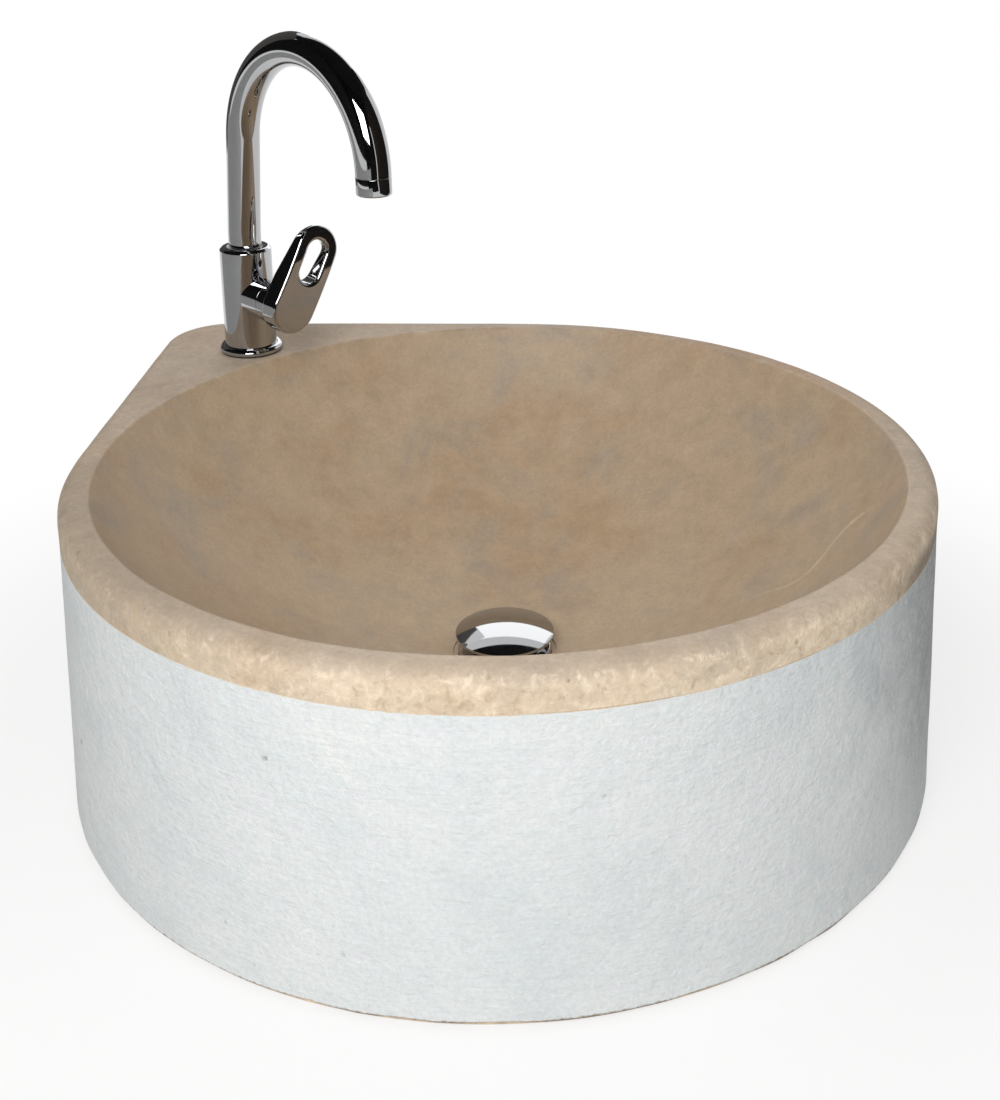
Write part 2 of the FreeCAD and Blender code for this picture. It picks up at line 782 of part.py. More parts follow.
def make_faucet_fixing():
    keep_on_faucet("base_seal", ring(
        "base_seal", s.base_ring_radius - s.base_ring_bevel / 2, ring_bore, 0, s.base_seal_thickness))
    keep_on_faucet("base_ring", turned("base_ring", [
        (ring_bore, s.base_seal_thickness),
        (s.base_ring_radius, s.base_seal_thickness),
        (s.base_ring_radius, body_bottom - s.base_ring_bevel),
        (s.base_ring_radius - s.base_ring_bevel, body_bottom),
        (ring_bore, body_bottom),
    ]))
    gasket_under = -s.deck_thickness - s.clamp_gasket_thickness
    plate_under = gasket_under - s.clamp_plate_thickness
    nut_under = plate_under - s.clamp_nut_height
    keep_on_faucet("clamp_gasket", clamp_shape("clamp_gasket", s.clamp_gasket_thickness, gasket_under))
    keep_on_faucet("clamp_plate", clamp_shape("clamp_plate", s.clamp_plate_thickness, plate_under))
    nut = prism("clamp_nut_blank", s.clamp_nut_circumradius, s.clamp_nut_height, (-s.stud_back, 0, nut_under))
    nut_hole = rod("clamp_nut_hole", s.stud_radius, s.clamp_nut_height, (-s.stud_back, 0, nut_under))
    keep_on_faucet("clamp_nut", cut("clamp_nut_cut", nut, [nut_hole]))
    stud_bottom = nut_under - s.stud_tail
    stud_top = s.stud_grip - s.shank_depth
    shaft = rod("stud_shaft", s.stud_radius, stud_top - stud_bottom, (-s.stud_back, 0, stud_bottom))
    keep_on_faucet("mounting_stud", gathered("stud", [shaft]))


def clamp_shape(name, thickness, bottom):
    """A horseshoe that clears the two supply connections and holds the stud."""
    disc = rod(name + "_disc", s.clamp_radius, thickness, (0, 0, bottom))
    mouth = block(
        name + "_mouth",
        (-s.clamp_opening_start, -s.clamp_opening_half, bottom),
        (s.clamp_radius * 2, s.clamp_opening_half, bottom + thickness))
    hole = rod(name + "_hole", s.stud_radius + s.free_clearance, thickness, (-s.stud_back, 0, bottom))
    return cut(name + "_cut", disc, [mouth, hole])


def make_faucet_body():
    barrel = turned("faucet_barrel", [
        (0, -s.shank_depth),
        (s.shank_radius, -s.shank_depth),
        (s.shank_radius, body_bottom),
        (s.faucet_radius, body_bottom),
        (s.faucet_radius, s.faucet_height - s.faucet_top_bevel),
        (s.faucet_radius - s.faucet_top_bevel, s.faucet_height),
        (0, s.faucet_height),
    ])
    boss = rod("boss", s.boss_radius, s.boss_length, (0, 0, boss_height), along_x)
    clear = s.free_clearance
    bore = s.cartridge_radius + s.fit_clearance
    inlet_top = boss_height - s.port_drop + s.inlet_bore_radius
    tools = [
        rod("spout_bore", s.spout_bore_radius, s.spout_bore_depth + clear, (0, 0, spout_bore_floor)),
        rod("cartridge_bore", bore, s.boss_length - s.boss_floor + clear,
            (s.boss_floor, 0, boss_height), along_x),
        rod("nut_bore", s.nut_radius, s.boss_length - s.cartridge_shoulder + clear,
            (s.cartridge_shoulder, 0, boss_height), along_x),
        rod("outlet_port", s.port_radius, s.boss_floor + clear, (0, 0, boss_height + s.port_rise), along_x),
        rod("outlet_rise", s.port_radius * 1.5, spout_bore_floor - boss_height - s.port_rise + clear,
            (0, 0, boss_height + s.port_rise)),
        rod("stud_hole", s.stud_radius, s.stud_grip, (-s.stud_back, 0, -s.shank_depth)),
        rod("spout_screw_hole", s.spout_screw_radius, s.faucet_radius + clear,
            (-s.faucet_radius - clear, 0, spout_groove_height), along_x),
    ]
    for name, side in (("hot", -1), ("cold", 1)):
        across = s.inlet_spread * side
        tools.append(rod(name + "_thread", s.inlet_thread_radius, s.inlet_thread_depth,
                         (s.inlet_forward, across, -s.shank_depth)))
        tools.append(rod(name + "_riser", s.inlet_bore_radius, inlet_top + s.shank_depth,
                         (s.inlet_forward, across, -s.shank_depth)))
        tools.append(rod(name + "_port", s.port_radius, s.boss_floor - s.inlet_forward + clear,
                         (s.inlet_forward, s.port_side * side, boss_height - s.port_drop), along_x))
    keep_on_faucet("faucet_body", cut("faucet_body_cut", fuse("faucet_blank", [barrel, boss]), tools))


# Spout: a bent tube on a turned tail that swivels in two slip rings

tail_bottom = spout_bore_floor + s.spout_tail_bottom_gap
tube_start = s.faucet_height + s.tube_start_above
slip_top = s.faucet_height - s.slip_ring_top_gap
spout_groove_height = (tail_bottom + s.slip_ring_height + slip_top - s.slip_ring_height) / 2
gland = s.spout_tail_radius - s.o_ring_gland
o_ring_half = (s.spout_bore_radius - s.fit_clearance - gland) / 2
tube_bore = s.tube_radius - s.tube_wall
bend_top = tube_start + s.neck_straight + s.neck_bend_radius * sine(s.neck_lean)
bend_out = s.neck_bend_radius * (1 - cosine(s.neck_lean))
neck_top = bend_top + s.neck_length * cosine(s.neck_lean)
neck_out = bend_out + s.neck_length * sine(s.neck_lean)
arch_out = neck_out + s.arch_radius * cosine(s.neck_lean)
arch_height = neck_top - s.arch_radius * sine(s.neck_lean)
spout_reach = arch_out + s.arch_radius


def make_spout_tail():
    half_gland = o_ring_half + s.fit_clearance
    half_groove = s.spout_groove_width / 2
    corners = [
        (s.tube_nipple_bore, tail_bottom),
        (s.spout_tail_radius, tail_bottom),
    ]
    for level, floor, half in (
        (spout_groove_height - s.o_ring_spacing / 2, gland, half_gland),
        (spout_groove_height, s.spout_groove_radius, half_groove),
        (spout_groove_height + s.o_ring_spacing / 2, gland, half_gland),
    ):
        corners += [
            (s.spout_tail_radius, level - half),
            (floor, level - half),
            (floor, level + half),
            (s.spout_tail_radius, level + half),
        ]
    nipple = tube_bore - s.fit_clearance
    corners += [
        (s.spout_tail_radius, tube_start),
        (nipple, tube_start),
        (nipple, tube_start + s.tube_nipple_length),
        (s.tube_nipple_bore, tube_start + s.tube_nipple_length),
    ]
    keep_on_faucet("spout_tail", turned("spout_tail", corners))


def make_spout_seals():
    rings = []
    for number, side in enumerate((-0.5, 0.5)):
        torus = doc.addObject("Part::Torus", "o_ring_%d" % number)
        torus.Radius1 = (gland + o_ring_half).value
        torus.Radius2 = o_ring_half.value
        bind(torus, "Radius1", gland + o_ring_half)
        bind(torus, "Radius2", o_ring_half)
        place(torus, (0, 0, spout_groove_height + s.o_ring_spacing * side))
        rings.append(torus)
    keep_on_faucet("spout_o_rings", gathered("o_rings", rings))
    bearing = s.spout_tail_radius + s.running_clearance
    lower = ring(
        "slip_ring_lower", s.spout_bore_radius, bearing, tail_bottom, tail_bottom + s.slip_ring_height)
    upper = ring("slip_ring_upper", s.spout_bore_radius, bearing, slip_top - s.slip_ring_height, slip_top)
    keep_on_faucet("spout_slip_rings", gathered("slip_rings", [lower, upper]))
    tip = s.spout_groove_radius + s.spout_screw_tip_gap
    head = s.faucet_radius - s.free_clearance
    screw = rod(
        "spout_screw_shaft", s.spout_screw_radius, head - tip, (-head, 0, spout_groove_height), along_x)
    keep_on_faucet("spout_screw", gathered("spout_screw_piece", [screw]))


def make_spout_tube():
    body = new_body("tube")
    path = new_sketch(body, "XZ_Plane")
    draw(path, [
        (0, tube_start),
        (0, tube_start + s.neck_straight),
        (bend_out, bend_top, s.neck_bend_radius, -1),
        (neck_out, neck_top),
        (arch_out, arch_height + s.arch_radius, s.arch_radius, -1),
        (spout_reach, arch_height, s.arch_radius, -1),
    ], closed=False)
    pipes = (("PartDesign::AdditivePipe", s.tube_radius), ("PartDesign::SubtractivePipe", tube_bore))
    for kind, radius in pipes:
        section = new_sketch(body, "XY_Plane", tube_start)
        draw_circle(section, 0, 0, radius)
        sweep = body.newObject(kind, "tube_sweep")
        sweep.Profile = section
        sweep.Spine = (path, ["Edge%d" % number for number in range(1, 6)])
    keep_on_faucet("spout_tube", body)


def make_aerator():
    bottom = arch_height - s.aerator_height
    inner = s.tube_radius - s.aerator_wall
    nipple = tube_bore - s.fit_clearance
    nipple_bore = nipple - s.tube_wall
    nipple_top = arch_height + s.aerator_nipple
    reach = spout_reach

    def keep_at_outlet(label, thing):
        out = reach * math.cos(math.radians(s.faucet_direction.value))
        keep(label, thing, (faucet_at[0] + out, faucet_at[1] - out, s.basin_height), towards_drain)

    keep_at_outlet("aerator_housing", turned("aerator_housing", [
        (inner - s.aerator_lip, bottom),
        (s.tube_radius, bottom),
        (s.tube_radius, arch_height),
        (nipple, arch_height),
        (nipple, nipple_top),
        (nipple_bore, nipple_top),
        (nipple_bore, arch_height),
        (inner, arch_height),
        (inner, bottom + s.aerator_lip),
        (inner - s.aerator_lip, bottom + s.aerator_lip),
    ]))
    body = new_body("insert")
    face = new_sketch(body, "XY_Plane", bottom + s.aerator_lip)
    draw_circle(face, 0, 0, inner - s.fit_clearance)
    draw_circle(face, 0, 0, s.aerator_hole_radius)
    for ring_number in (1, 2):
        for hole in range(6 * ring_number):
            angle = math.radians(360.0 * hole / (6 * ring_number) + 5.0)
            distance = s.aerator_hole_pitch * ring_number
            draw_circle(face, distance * math.cos(angle), distance * math.sin(angle), s.aerator_hole_radius)
    pad(body, face, s.aerator_insert_height)
    keep_at_outlet("aerator_insert", body)
    keep_at_outlet("aerator_washer", ring(
        "aerator_washer", nipple - s.free_clearance, s.aerator_washer_bore,
        nipple_top, nipple_top + s.aerator_washer_thickness))


# Cartridge: drawn round the boss, with X outwards along it

boss_base = faucet_at + (s.basin_height + boss_height,)
seal_front = s.boss_floor + s.face_seal_thickness
disc_front = seal_front + s.disc_thickness
moving_back = disc_front + s.disc_gap
moving_front = moving_back + s.moving_disc_thickness
holder_front = moving_front + s.holder_plate
carrier_back = holder_front + s.free_clearance
housing_bore = s.cartridge_radius - s.cartridge_wall
housing_end = seal_front + s.cartridge_length
carrier_end = s.pivot_distance + s.carrier_front
carrier_radius = housing_bore - s.running_clearance
slide_travel = s.stem_tip_distance * (s.lever_lift_max * math.pi / 180.0)
lever_turned = towards_drain.multiply(FreeCAD.Rotation(FreeCAD.Vector(1, 0, 0), -s.lever_turn_at_rest.value))


def keep_on_boss(label, thing):
    return keep(label, thing, boss_base, towards_drain)


def keep_on_lever(label, thing):
    """Pieces that are turned with the lever as the photograph shows it."""
    return keep(label, thing, boss_base, lever_turned)


def ports(name, start, length):
    """Two inlet ports and one outlet port through a disc."""
    places = ((s.port_side, -s.port_drop), (-s.port_side, -s.port_drop), (0, s.port_rise))
    return [
        rod("%s_port_%d" % (name, number), s.port_radius, length, (start, across, rise), along_x)
        for number, (across, rise) in enumerate(places)
    ]


def make_cartridge():
    seal = rod("face_seal_blank", s.cartridge_radius, s.face_seal_thickness, (s.boss_floor, 0, 0), along_x)
    keep_on_boss("cartridge_seal", cut(
        "face_seal", seal, ports("face_seal", s.boss_floor, s.face_seal_thickness)))
    disc_radius = housing_bore - s.fit_clearance
    disc = rod("fixed_disc_blank", disc_radius, s.disc_thickness, (seal_front, 0, 0), along_x)
    keep_on_boss("fixed_disc", cut("fixed_disc_cut", disc, ports("fixed_disc", seal_front, s.disc_thickness)))
    keep_on_boss("cartridge_housing", turned("cartridge_housing", [
        (seal_front, housing_bore),
        (seal_front, s.cartridge_radius),
        (s.cartridge_shoulder, s.cartridge_radius),
        (s.cartridge_shoulder, s.cartridge_neck_radius),
        (housing_end, s.cartridge_neck_radius),
        (housing_end, s.cartridge_lip_radius),
        (housing_end - s.cartridge_lip, s.cartridge_lip_radius),
        (housing_end - s.cartridge_lip, housing_bore),
    ], "H_Axis"))
    keep_on_boss("cartridge_nut", turned("cartridge_nut", [
        (s.cartridge_shoulder, s.nut_bore),
        (s.cartridge_shoulder, s.nut_radius),
        (s.cartridge_shoulder + s.nut_length, s.nut_radius),
        (s.cartridge_shoulder + s.nut_length, s.nut_bore),
    ], "H_Axis"))
    start = s.boss_length + s.sleeve_gap
    sleeve_bore = s.nut_radius + s.running_clearance
    inside = s.sleeve_dome_radius - s.sleeve_wall
    dome_end = s.pivot_distance + leg(s.sleeve_dome_radius, s.sleeve_opening)
    keep_on_boss("cover_sleeve", turned("cover_sleeve", [
        (start, sleeve_bore),
        (start, s.boss_radius),
        (s.pivot_distance + leg(s.sleeve_dome_radius, s.boss_radius), s.boss_radius),
        (dome_end, s.sleeve_opening, s.sleeve_dome_radius, -1),
        (s.pivot_distance + leg(inside, s.sleeve_opening), s.sleeve_opening),
        (s.pivot_distance + leg(inside, sleeve_bore), sleeve_bore, inside, 1),
    ], "H_Axis"))


def make_carrier():
    lip_clear = housing_end - s.cartridge_lip - s.free_clearance
    neck = s.cartridge_lip_radius - s.running_clearance
    blank = turned("carrier_blank", [
        (carrier_back, 0),
        (carrier_back, carrier_radius),
        (lip_clear, carrier_radius),
        (lip_clear, neck),
        (carrier_end, neck),
        (carrier_end, 0),
    ], "H_Axis")
    pocket_end = moving_front + s.holder_plate + s.holder_block_length + s.free_clearance
    pocket_side = s.holder_block_width + s.free_clearance
    slot_side = s.stem_block_width + s.free_clearance
    tools = [
        block("carrier_pocket", (carrier_back - 1, -pocket_side, -s.carrier_pocket),
              (pocket_end, pocket_side, s.carrier_pocket)),
        block("carrier_slot", (carrier_back, -slot_side, -s.carrier_pocket),
              (carrier_end + 1, slot_side, s.carrier_pocket)),
        rod("carrier_pin_hole", s.pivot_pin_radius, neck * 3, (s.pivot_distance, -neck * 1.5, 0), along_y),
    ]
    keep_on_lever("carrier", cut("carrier_cut", blank, tools))
    pin_half = neck - s.free_clearance
    pin = rod("pin_shaft", s.pivot_pin_radius, pin_half * 2, (s.pivot_distance, -pin_half, 0), along_y)
    keep_on_lever("pivot_pin", gathered("pin", [pin]))


def make_moving_disc():
    offset = -slide_travel / 2
    disc = rod(
        "moving_disc_blank", s.moving_disc_radius, s.moving_disc_thickness, (moving_back, 0, offset), along_x)
    pocket = block(
        "moving_disc_pocket",
        (moving_back, -s.port_side, offset - s.port_drop),
        (moving_back + s.moving_disc_thickness / 2, s.port_side, offset + s.port_drop))
    keep_on_lever("moving_disc", cut("moving_disc_cut", disc, [pocket]))
    plate = rod("holder_plate", s.holder_radius, s.holder_plate, (moving_front, 0, offset), along_x)
    socket = block(
        "holder_socket",
        (holder_front, -s.holder_block_width, -s.holder_block),
        (holder_front + s.holder_block_length, s.holder_block_width, s.holder_block))
    slot = block(
        "holder_slot",
        (holder_front, -s.stem_tip_radius - s.free_clearance, -s.holder_slot),
        (holder_front + s.holder_block_length + 1, s.stem_tip_radius + s.free_clearance, s.holder_slot))
    keep_on_lever("disc_holder", cut("disc_holder_cut", fuse("holder_blank", [plate, socket]), [slot]))


def make_stem():
    tip_at = s.pivot_distance - s.stem_tip_distance
    block_back = s.pivot_distance - s.stem_block_back
    block_front = s.pivot_distance + s.stem_block_front
    eye = block(
        "stem_eye",
        (block_back, -s.stem_block_width, -s.stem_block_height),
        (block_front, s.stem_block_width, s.stem_block_height))
    tail = rod("stem_tail", s.stem_tail_radius, block_back - tip_at + 1, (tip_at, 0, 0), along_x)
    tip = ball("stem_tip", s.stem_tip_radius, (tip_at, 0, 0))
    shaft = rod("stem_shaft", s.stem_radius, socket_end - block_front + 1, (block_front - 1, 0, 0), along_x)
    hole = rod("stem_pin_hole", s.pivot_pin_radius + s.running_clearance, s.stem_block_width * 4,
               (s.pivot_distance, -s.stem_block_width * 2, 0), along_y)
    front_cut = block("stem_front_room", (block_front - 1, -s.stem_radius * 2, -s.stem_radius * 2),
                      (block_front, -s.stem_block_width, s.stem_radius * 2))
    front_cut_other = block("stem_front_room_other",
                            (block_front - 1, s.stem_block_width, -s.stem_radius * 2),
                            (block_front, s.stem_radius * 2, s.stem_radius * 2))
    blank = fuse("stem_blank", [eye, tail, tip, shaft])
    keep_on_lever("lever_stem", cut("stem", blank, [hole, front_cut, front_cut_other]))


# Lever: a loop handle over the sleeve's dome, drawn upright and then turned

recess_radius = s.sleeve_dome_radius + s.lever_dome_gap
recess_rim = s.boss_radius + s.lever_rim_gap
lever_back = s.pivot_distance + leg(recess_radius, recess_rim)
socket_end = s.lever_front - s.lever_socket_floor
screw_at = (s.pivot_distance + recess_radius + socket_end) / 2


def stadium_corners(radius, low, high):
    """A slot outline with two round ends, anticlockwise from the lower right."""
    return [
        (radius, low, radius, 1),
        (radius, high),
        (0, as_size(high) + radius, radius, 1),
        (-radius, high, radius, 1),
        (-radius, low),
        (0, as_size(low) - radius, radius, 1),
    ]


def make_lever():
    body = new_body("lever")
    outline = new_sketch(body, "YZ_Plane", lever_back)
    draw(outline, stadium_corners(s.lever_radius, 0, s.lever_length))
    draw(outline, stadium_corners(s.lever_slot_radius, s.lever_slot_start, s.lever_slot_end))
    pad(body, outline, s.lever_front - lever_back)
    wedge = new_sketch(body, "XZ_Plane")
    tip = s.lever_length + s.lever_radius
    draw(wedge, [
        (lever_back - 1, s.lever_taper_start),
        (lever_back, s.lever_taper_start),
        (s.lever_front - s.lever_tip_thickness, tip),
        (s.lever_front - s.lever_tip_thickness, tip + 1),
        (lever_back - 1, tip + 1),
    ])
    taper = body.newObject("PartDesign::Pocket", "lever_taper")
    taper.Profile = wedge
    taper.Type = "ThroughAll"
    taper.Midplane = True
    doc.recompute()
    front = s.lever_front.value
    names = []
    for number, edge in enumerate(taper.Shape.Edges, start=1):
        box = edge.BoundBox
        if abs(box.XMin - front) < 1e-4 and abs(box.XMax - front) < 1e-4:
            names.append("Edge%d" % number)
    rounding = body.newObject("PartDesign::Fillet", "lever_rounding")
    rounding.Base = (taper, names)
    rounding.Radius = s.lever_edge_round.value
    bind(rounding, "Radius", s.lever_edge_round)
    plug_start = s.lever_radius - s.lever_plug_depth
    tools = [
        ball("lever_recess", recess_radius, (s.pivot_distance, 0, 0)),
        rod("lever_socket", s.stem_radius, socket_end - s.pivot_distance, (s.pivot_distance, 0, 0), along_x),
        rod("lever_screw_hole", s.lever_screw_radius, s.lever_radius * 2, (screw_at, 0, -s.lever_radius * 2)),
        rod("lever_plug_hole", s.lever_plug_radius, s.lever_radius,
            (screw_at, 0, -s.lever_radius - plug_start)),
    ]
    keep_on_lever("lever", cut("lever_cut", body, tools))
    screw = rod("screw_shaft", s.lever_screw_radius, s.lever_screw_length,
                (screw_at, 0, -s.stem_radius - s.lever_screw_length))
    keep_on_lever("lever_screw", gathered("screw", [screw]))
    plug = rod("plug_disc", s.lever_plug_radius, s.lever_plug_depth - s.lever_rim_gap,
               (screw_at, 0, s.lever_rim_gap - s.lever_radius))
    keep_on_lever("lever_plug", gathered("cover_plug", [plug]))


make_basin_casting()
make_outer_coat()
make_waste()
make_plug_guide()
make_plug()
make_plug_spring()
make_faucet_fixing()
make_faucet_body()
make_spout_tail()
make_spout_seals()
make_spout_tube()
make_aerator()
make_cartridge()
make_carrier()
make_moving_disc()
make_stem()
make_lever()
doc.recompute()

for thing in doc.Objects:
    if "Invalid" in thing.State or "Error" in thing.State:
        raise RuntimeError("%s did not build: %s" % (thing.Label, thing.State))
for label, thing in pieces.items():
    if thing.Shape.isNull() or not thing.Shape.isValid():
        raise RuntimeError("%s has no valid shape" % label)

os.makedirs("parts", exist_ok=True)
for label, thing in pieces.items():
    thing.Shape.exportStep("parts/%s.step" % label)
    print("%s: %.1f cm3, %d solids" % (label, thing.Shape.Volume / 1000, len(thing.Shape.Solids)))
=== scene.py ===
import math
import bmesh
import bpy
from mathutils import Matrix, Vector, noise


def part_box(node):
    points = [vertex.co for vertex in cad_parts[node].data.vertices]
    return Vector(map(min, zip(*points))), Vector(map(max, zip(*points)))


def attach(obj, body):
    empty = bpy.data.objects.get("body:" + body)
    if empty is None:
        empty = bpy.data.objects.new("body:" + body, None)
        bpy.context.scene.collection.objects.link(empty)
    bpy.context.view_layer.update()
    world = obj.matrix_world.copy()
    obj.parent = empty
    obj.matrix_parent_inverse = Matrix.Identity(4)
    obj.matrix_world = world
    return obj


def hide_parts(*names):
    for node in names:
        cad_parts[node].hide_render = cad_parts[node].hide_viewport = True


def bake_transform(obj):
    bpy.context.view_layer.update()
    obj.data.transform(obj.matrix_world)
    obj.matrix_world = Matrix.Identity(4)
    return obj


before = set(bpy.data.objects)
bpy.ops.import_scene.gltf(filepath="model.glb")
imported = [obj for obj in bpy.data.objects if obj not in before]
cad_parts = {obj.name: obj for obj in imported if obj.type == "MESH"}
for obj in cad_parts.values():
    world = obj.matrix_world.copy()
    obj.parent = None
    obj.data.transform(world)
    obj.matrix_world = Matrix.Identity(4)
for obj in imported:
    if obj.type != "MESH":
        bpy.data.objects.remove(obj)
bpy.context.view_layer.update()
mm = 0.001
sharpAngle = 32  # degrees between two faces, from which their edge stays sharp
bevelAngle = 28  # degrees, from which an edge of a turned piece is rounded
print("frame loaded:", len(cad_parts), "nodes")


def linear(hexColour):
    channels = [int(hexColour[i:i + 2], 16) / 255 for i in (1, 3, 5)]
    return tuple(c / 12.92 if c <= 0.04045 else ((c + 0.055) / 1.055) ** 2.4 for c in channels) + (1.0,)


def addNode(tree, kind, inputs=None, **settings):
    node = tree.nodes.new(kind)
    for name, value in settings.items():
        setattr(node, name, value)
    for name, value in (inputs or {}).items():
        if isinstance(value, bpy.types.NodeSocket):
            tree.links.new(value, node.inputs[name])
        else:
            node.inputs[name].default_value = value
    return node


def startMaterial(name):
    material = bpy.data.materials.new(name)
    material.use_nodes = True
    tree = material.node_tree
    return material, tree, tree.nodes["Principled BSDF"]


# materials

def layerColours(tree, tone, layers):
    # lays colours over each other: each layer shows where its value passes from low to high, up to a top
    # share, and only as far as its limit lets it
    for value, low, high, top, limit, colour in layers:
        amount = addNode(tree, "ShaderNodeMapRange", {
            "Value": value, "From Min": low, "From Max": high, "To Max": top},
            interpolation_type="SMOOTHSTEP").outputs[0]
        if limit is not None:
            amount = addNode(tree, "ShaderNodeMath", {0: amount, 1: limit}, operation="MULTIPLY").outputs[0]
        tone = addNode(tree, "ShaderNodeMix", {
            0: amount, 6: tone, 7: linear(colour)}, data_type="RGBA").outputs[2]
    return tone


def shadeTone(tree, tone, patterns):
    # lightens and darkens a colour with each pattern, by up to its spread
    light = 1.0
    for value, spread in patterns:
        shade = addNode(tree, "ShaderNodeMapRange", {
            "Value": value, "From Min": 0.25, "From Max": 0.75,
            "To Min": 1 - spread, "To Max": 1 + spread}).outputs[0]
        light = addNode(tree, "ShaderNodeMath", {0: light, 1: shade}, operation="MULTIPLY").outputs[0]
    return addNode(tree, "ShaderNodeMix", {
        0: 1.0, 6: tone, 7: light}, data_type="RGBA", blend_type="MULTIPLY").outputs[2]


def spanShare(tree, value, ends, share):
    # keeps a share where a value lies between the inner two of its ends, and fades it out to the outer two
    for off, full in (ends[:2], ends[:1:-1]):
        side = addNode(tree, "ShaderNodeMapRange", {
            "Value": value, "From Min": off, "From Max": full}, interpolation_type="SMOOTHSTEP").outputs[0]
        share = addNode(tree, "ShaderNodeMath", {0: share, 1: side}, operation="MULTIPLY").outputs[0]
    return share


def wanderingTurn(tree, across, along, pattern, share):
    # the angle about the upright axis, in radians, pushed about by a pattern
    turn = addNode(tree, "ShaderNodeMath", {0: along, 1: across}, operation="ARCTAN2").outputs[0]
    return addNode(tree, "ShaderNodeMath", {
        0: pattern, 1: share, 2: turn}, operation="MULTIPLY_ADD").outputs[0]


def makeConcrete():
    # cast concrete, ground and sealed: soft ochre and grey clouds in a satin bowl with one thin painted
    # highlight, and a rougher rim with pale shell flecks, small brown hollows and painted shade in its pits,
    # creamier and lighter on its outer face, partly painted light, with painted shade at the right and at
    # the left, and some rust at the back right
    look = {
        "bowl": "#bda68a", "ochre": "#b29371", "ash": "#a79b8d", "rimTop": "#c8b5a0", "rimFace": "#e0ccb2",
        "shell": "#eddcc3", "hollow": "#bfa587", "fleck": "#f3e6d0", "pitShade": "#97805f", "rightShade": "#3c3027",
        "rust": "#b07f4a", "leftShade": "#94836f", "highlight": "#e0ceb4",
        "ochreSize": 85, "ashSize": 55, "mottleSize": 16, "patchSize": 7, "sandSize": 2.2,
        "fleckSize": 5, "pitSize": 8, "raggedness": 4, "fleckFrom": 0.76, "pitFrom": 0.80,
        "cellFade": 0.06, "pitOuter": 0.24, "pitInner": 0.10, "pitDepth": -1.5,
        "lipStart": 253.8, "lipEnd": 257.4, "lipWear": 7, "rimCloudLoss": -0.4,
        "faceStart": 196.6, "faceFull": 192.5, "topShare": 0.15, "turnWander": 0.25,
        "rightShadeTurn": (-0.60, -0.34, -0.10, 0.15), "rustTurn": (0.25, 0.75, 1.25, 1.75),
        "leftShadeTurn": (-3.02, -2.80, -2.25, -1.70),
        "highlightWave": 60, "highlightPhase": -19.7, "highlightSway": 8, "highlightAt": -23, "highlightWidth": 1.7,
        "highlightReach": (150, 185, 226, 236),
        "roughLow": 0.44, "roughHigh": 0.56, "rimRough": 0.2, "bowlGrit": 0.3, "rimGrit": 1.2,
        "waveRelief": 0.8, "gritRelief": 0.6,
    }
    material, tree, shader = startMaterial("cast concrete, sealed")
    place = addNode(tree, "ShaderNodeTexCoord").outputs["Object"]
    parts = addNode(tree, "ShaderNodeSeparateXYZ", {0: place})
    across, along, height = [parts.outputs[axis] for axis in "XYZ"]
    flat = addNode(tree, "ShaderNodeCombineXYZ", {"X": across, "Y": along}).outputs[0]
    radius = addNode(tree, "ShaderNodeVectorMath", {0: flat}, operation="LENGTH").outputs["Value"]
    patterns = [addNode(tree, "ShaderNodeTexNoise", {
        "Vector": place, "Scale": 1 / (look[size] * mm), "Detail": detail, "Roughness": 0.62,
        "Distortion": bend})
        for size, detail, bend in (("ochreSize", 5.0, 0.3), ("ashSize", 5.0, 0.5), ("mottleSize", 6.0, 0.0),
                                   ("patchSize", 4.0, 0.6), ("sandSize", 3.0, 0.0))]
    ochre, ash, mottle, patch, sand = [node.outputs[0] for node in patterns]
    ragged = addNode(tree, "ShaderNodeVectorMath", {
        0: patterns[-1].outputs["Color"], 1: [look["raggedness"] * mm] * 3, 2: place},
        operation="MULTIPLY_ADD").outputs[0]
    flecks, pits = [addNode(tree, "ShaderNodeTexVoronoi", {"Vector": ragged, "Scale": 1 / (look[size] * mm)})
                    for size in ("fleckSize", "pitSize")]

    # the rim starts at the bowl's lip, and flecks and pits are in some of their cells only
    worn = addNode(tree, "ShaderNodeMath", {
        0: mottle, 1: look["lipWear"] * mm, 2: radius}, operation="MULTIPLY_ADD").outputs[0]
    onRim = addNode(tree, "ShaderNodeMapRange", {
        "Value": worn, "From Min": look["lipStart"] * mm, "From Max": look["lipEnd"] * mm},
        interpolation_type="SMOOTHSTEP").outputs[0]
    inBowl = addNode(tree, "ShaderNodeMath", {
        0: onRim, 1: look["rimCloudLoss"], 2: 1.0}, operation="MULTIPLY_ADD").outputs[0]
    turned = addNode(tree, "ShaderNodeMapRange", {
        "Value": height, "From Min": look["faceStart"] * mm, "From Max": look["faceFull"] * mm,
        "To Min": look["topShare"]}).outputs[0]
    onFace = addNode(tree, "ShaderNodeMath", {0: turned, 1: onRim}, operation="MULTIPLY").outputs[0]
    some = []
    for cells, least in ((flecks, look["fleckFrom"]), (pits, look["pitFrom"])):
        chosen = addNode(tree, "ShaderNodeMapRange", {
            "Value": cells.outputs["Color"], "From Min": least,
            "From Max": least + look["cellFade"]}).outputs[0]
        some.append(addNode(tree, "ShaderNodeMath", {0: chosen, 1: onFace}, operation="MULTIPLY").outputs[0])
    someFlecks, somePits = some

    # painted shade at the right, rust, and painted shade at the left each lie on their own stretch of the
    # rim
    wander = wanderingTurn(tree, across, along, mottle, look["turnWander"])
    shadedRight, rusty, shadedLeft = [spanShare(tree, wander, look[stretch], onRim)
                             for stretch in ("rightShadeTurn", "rustTurn", "leftShadeTurn")]
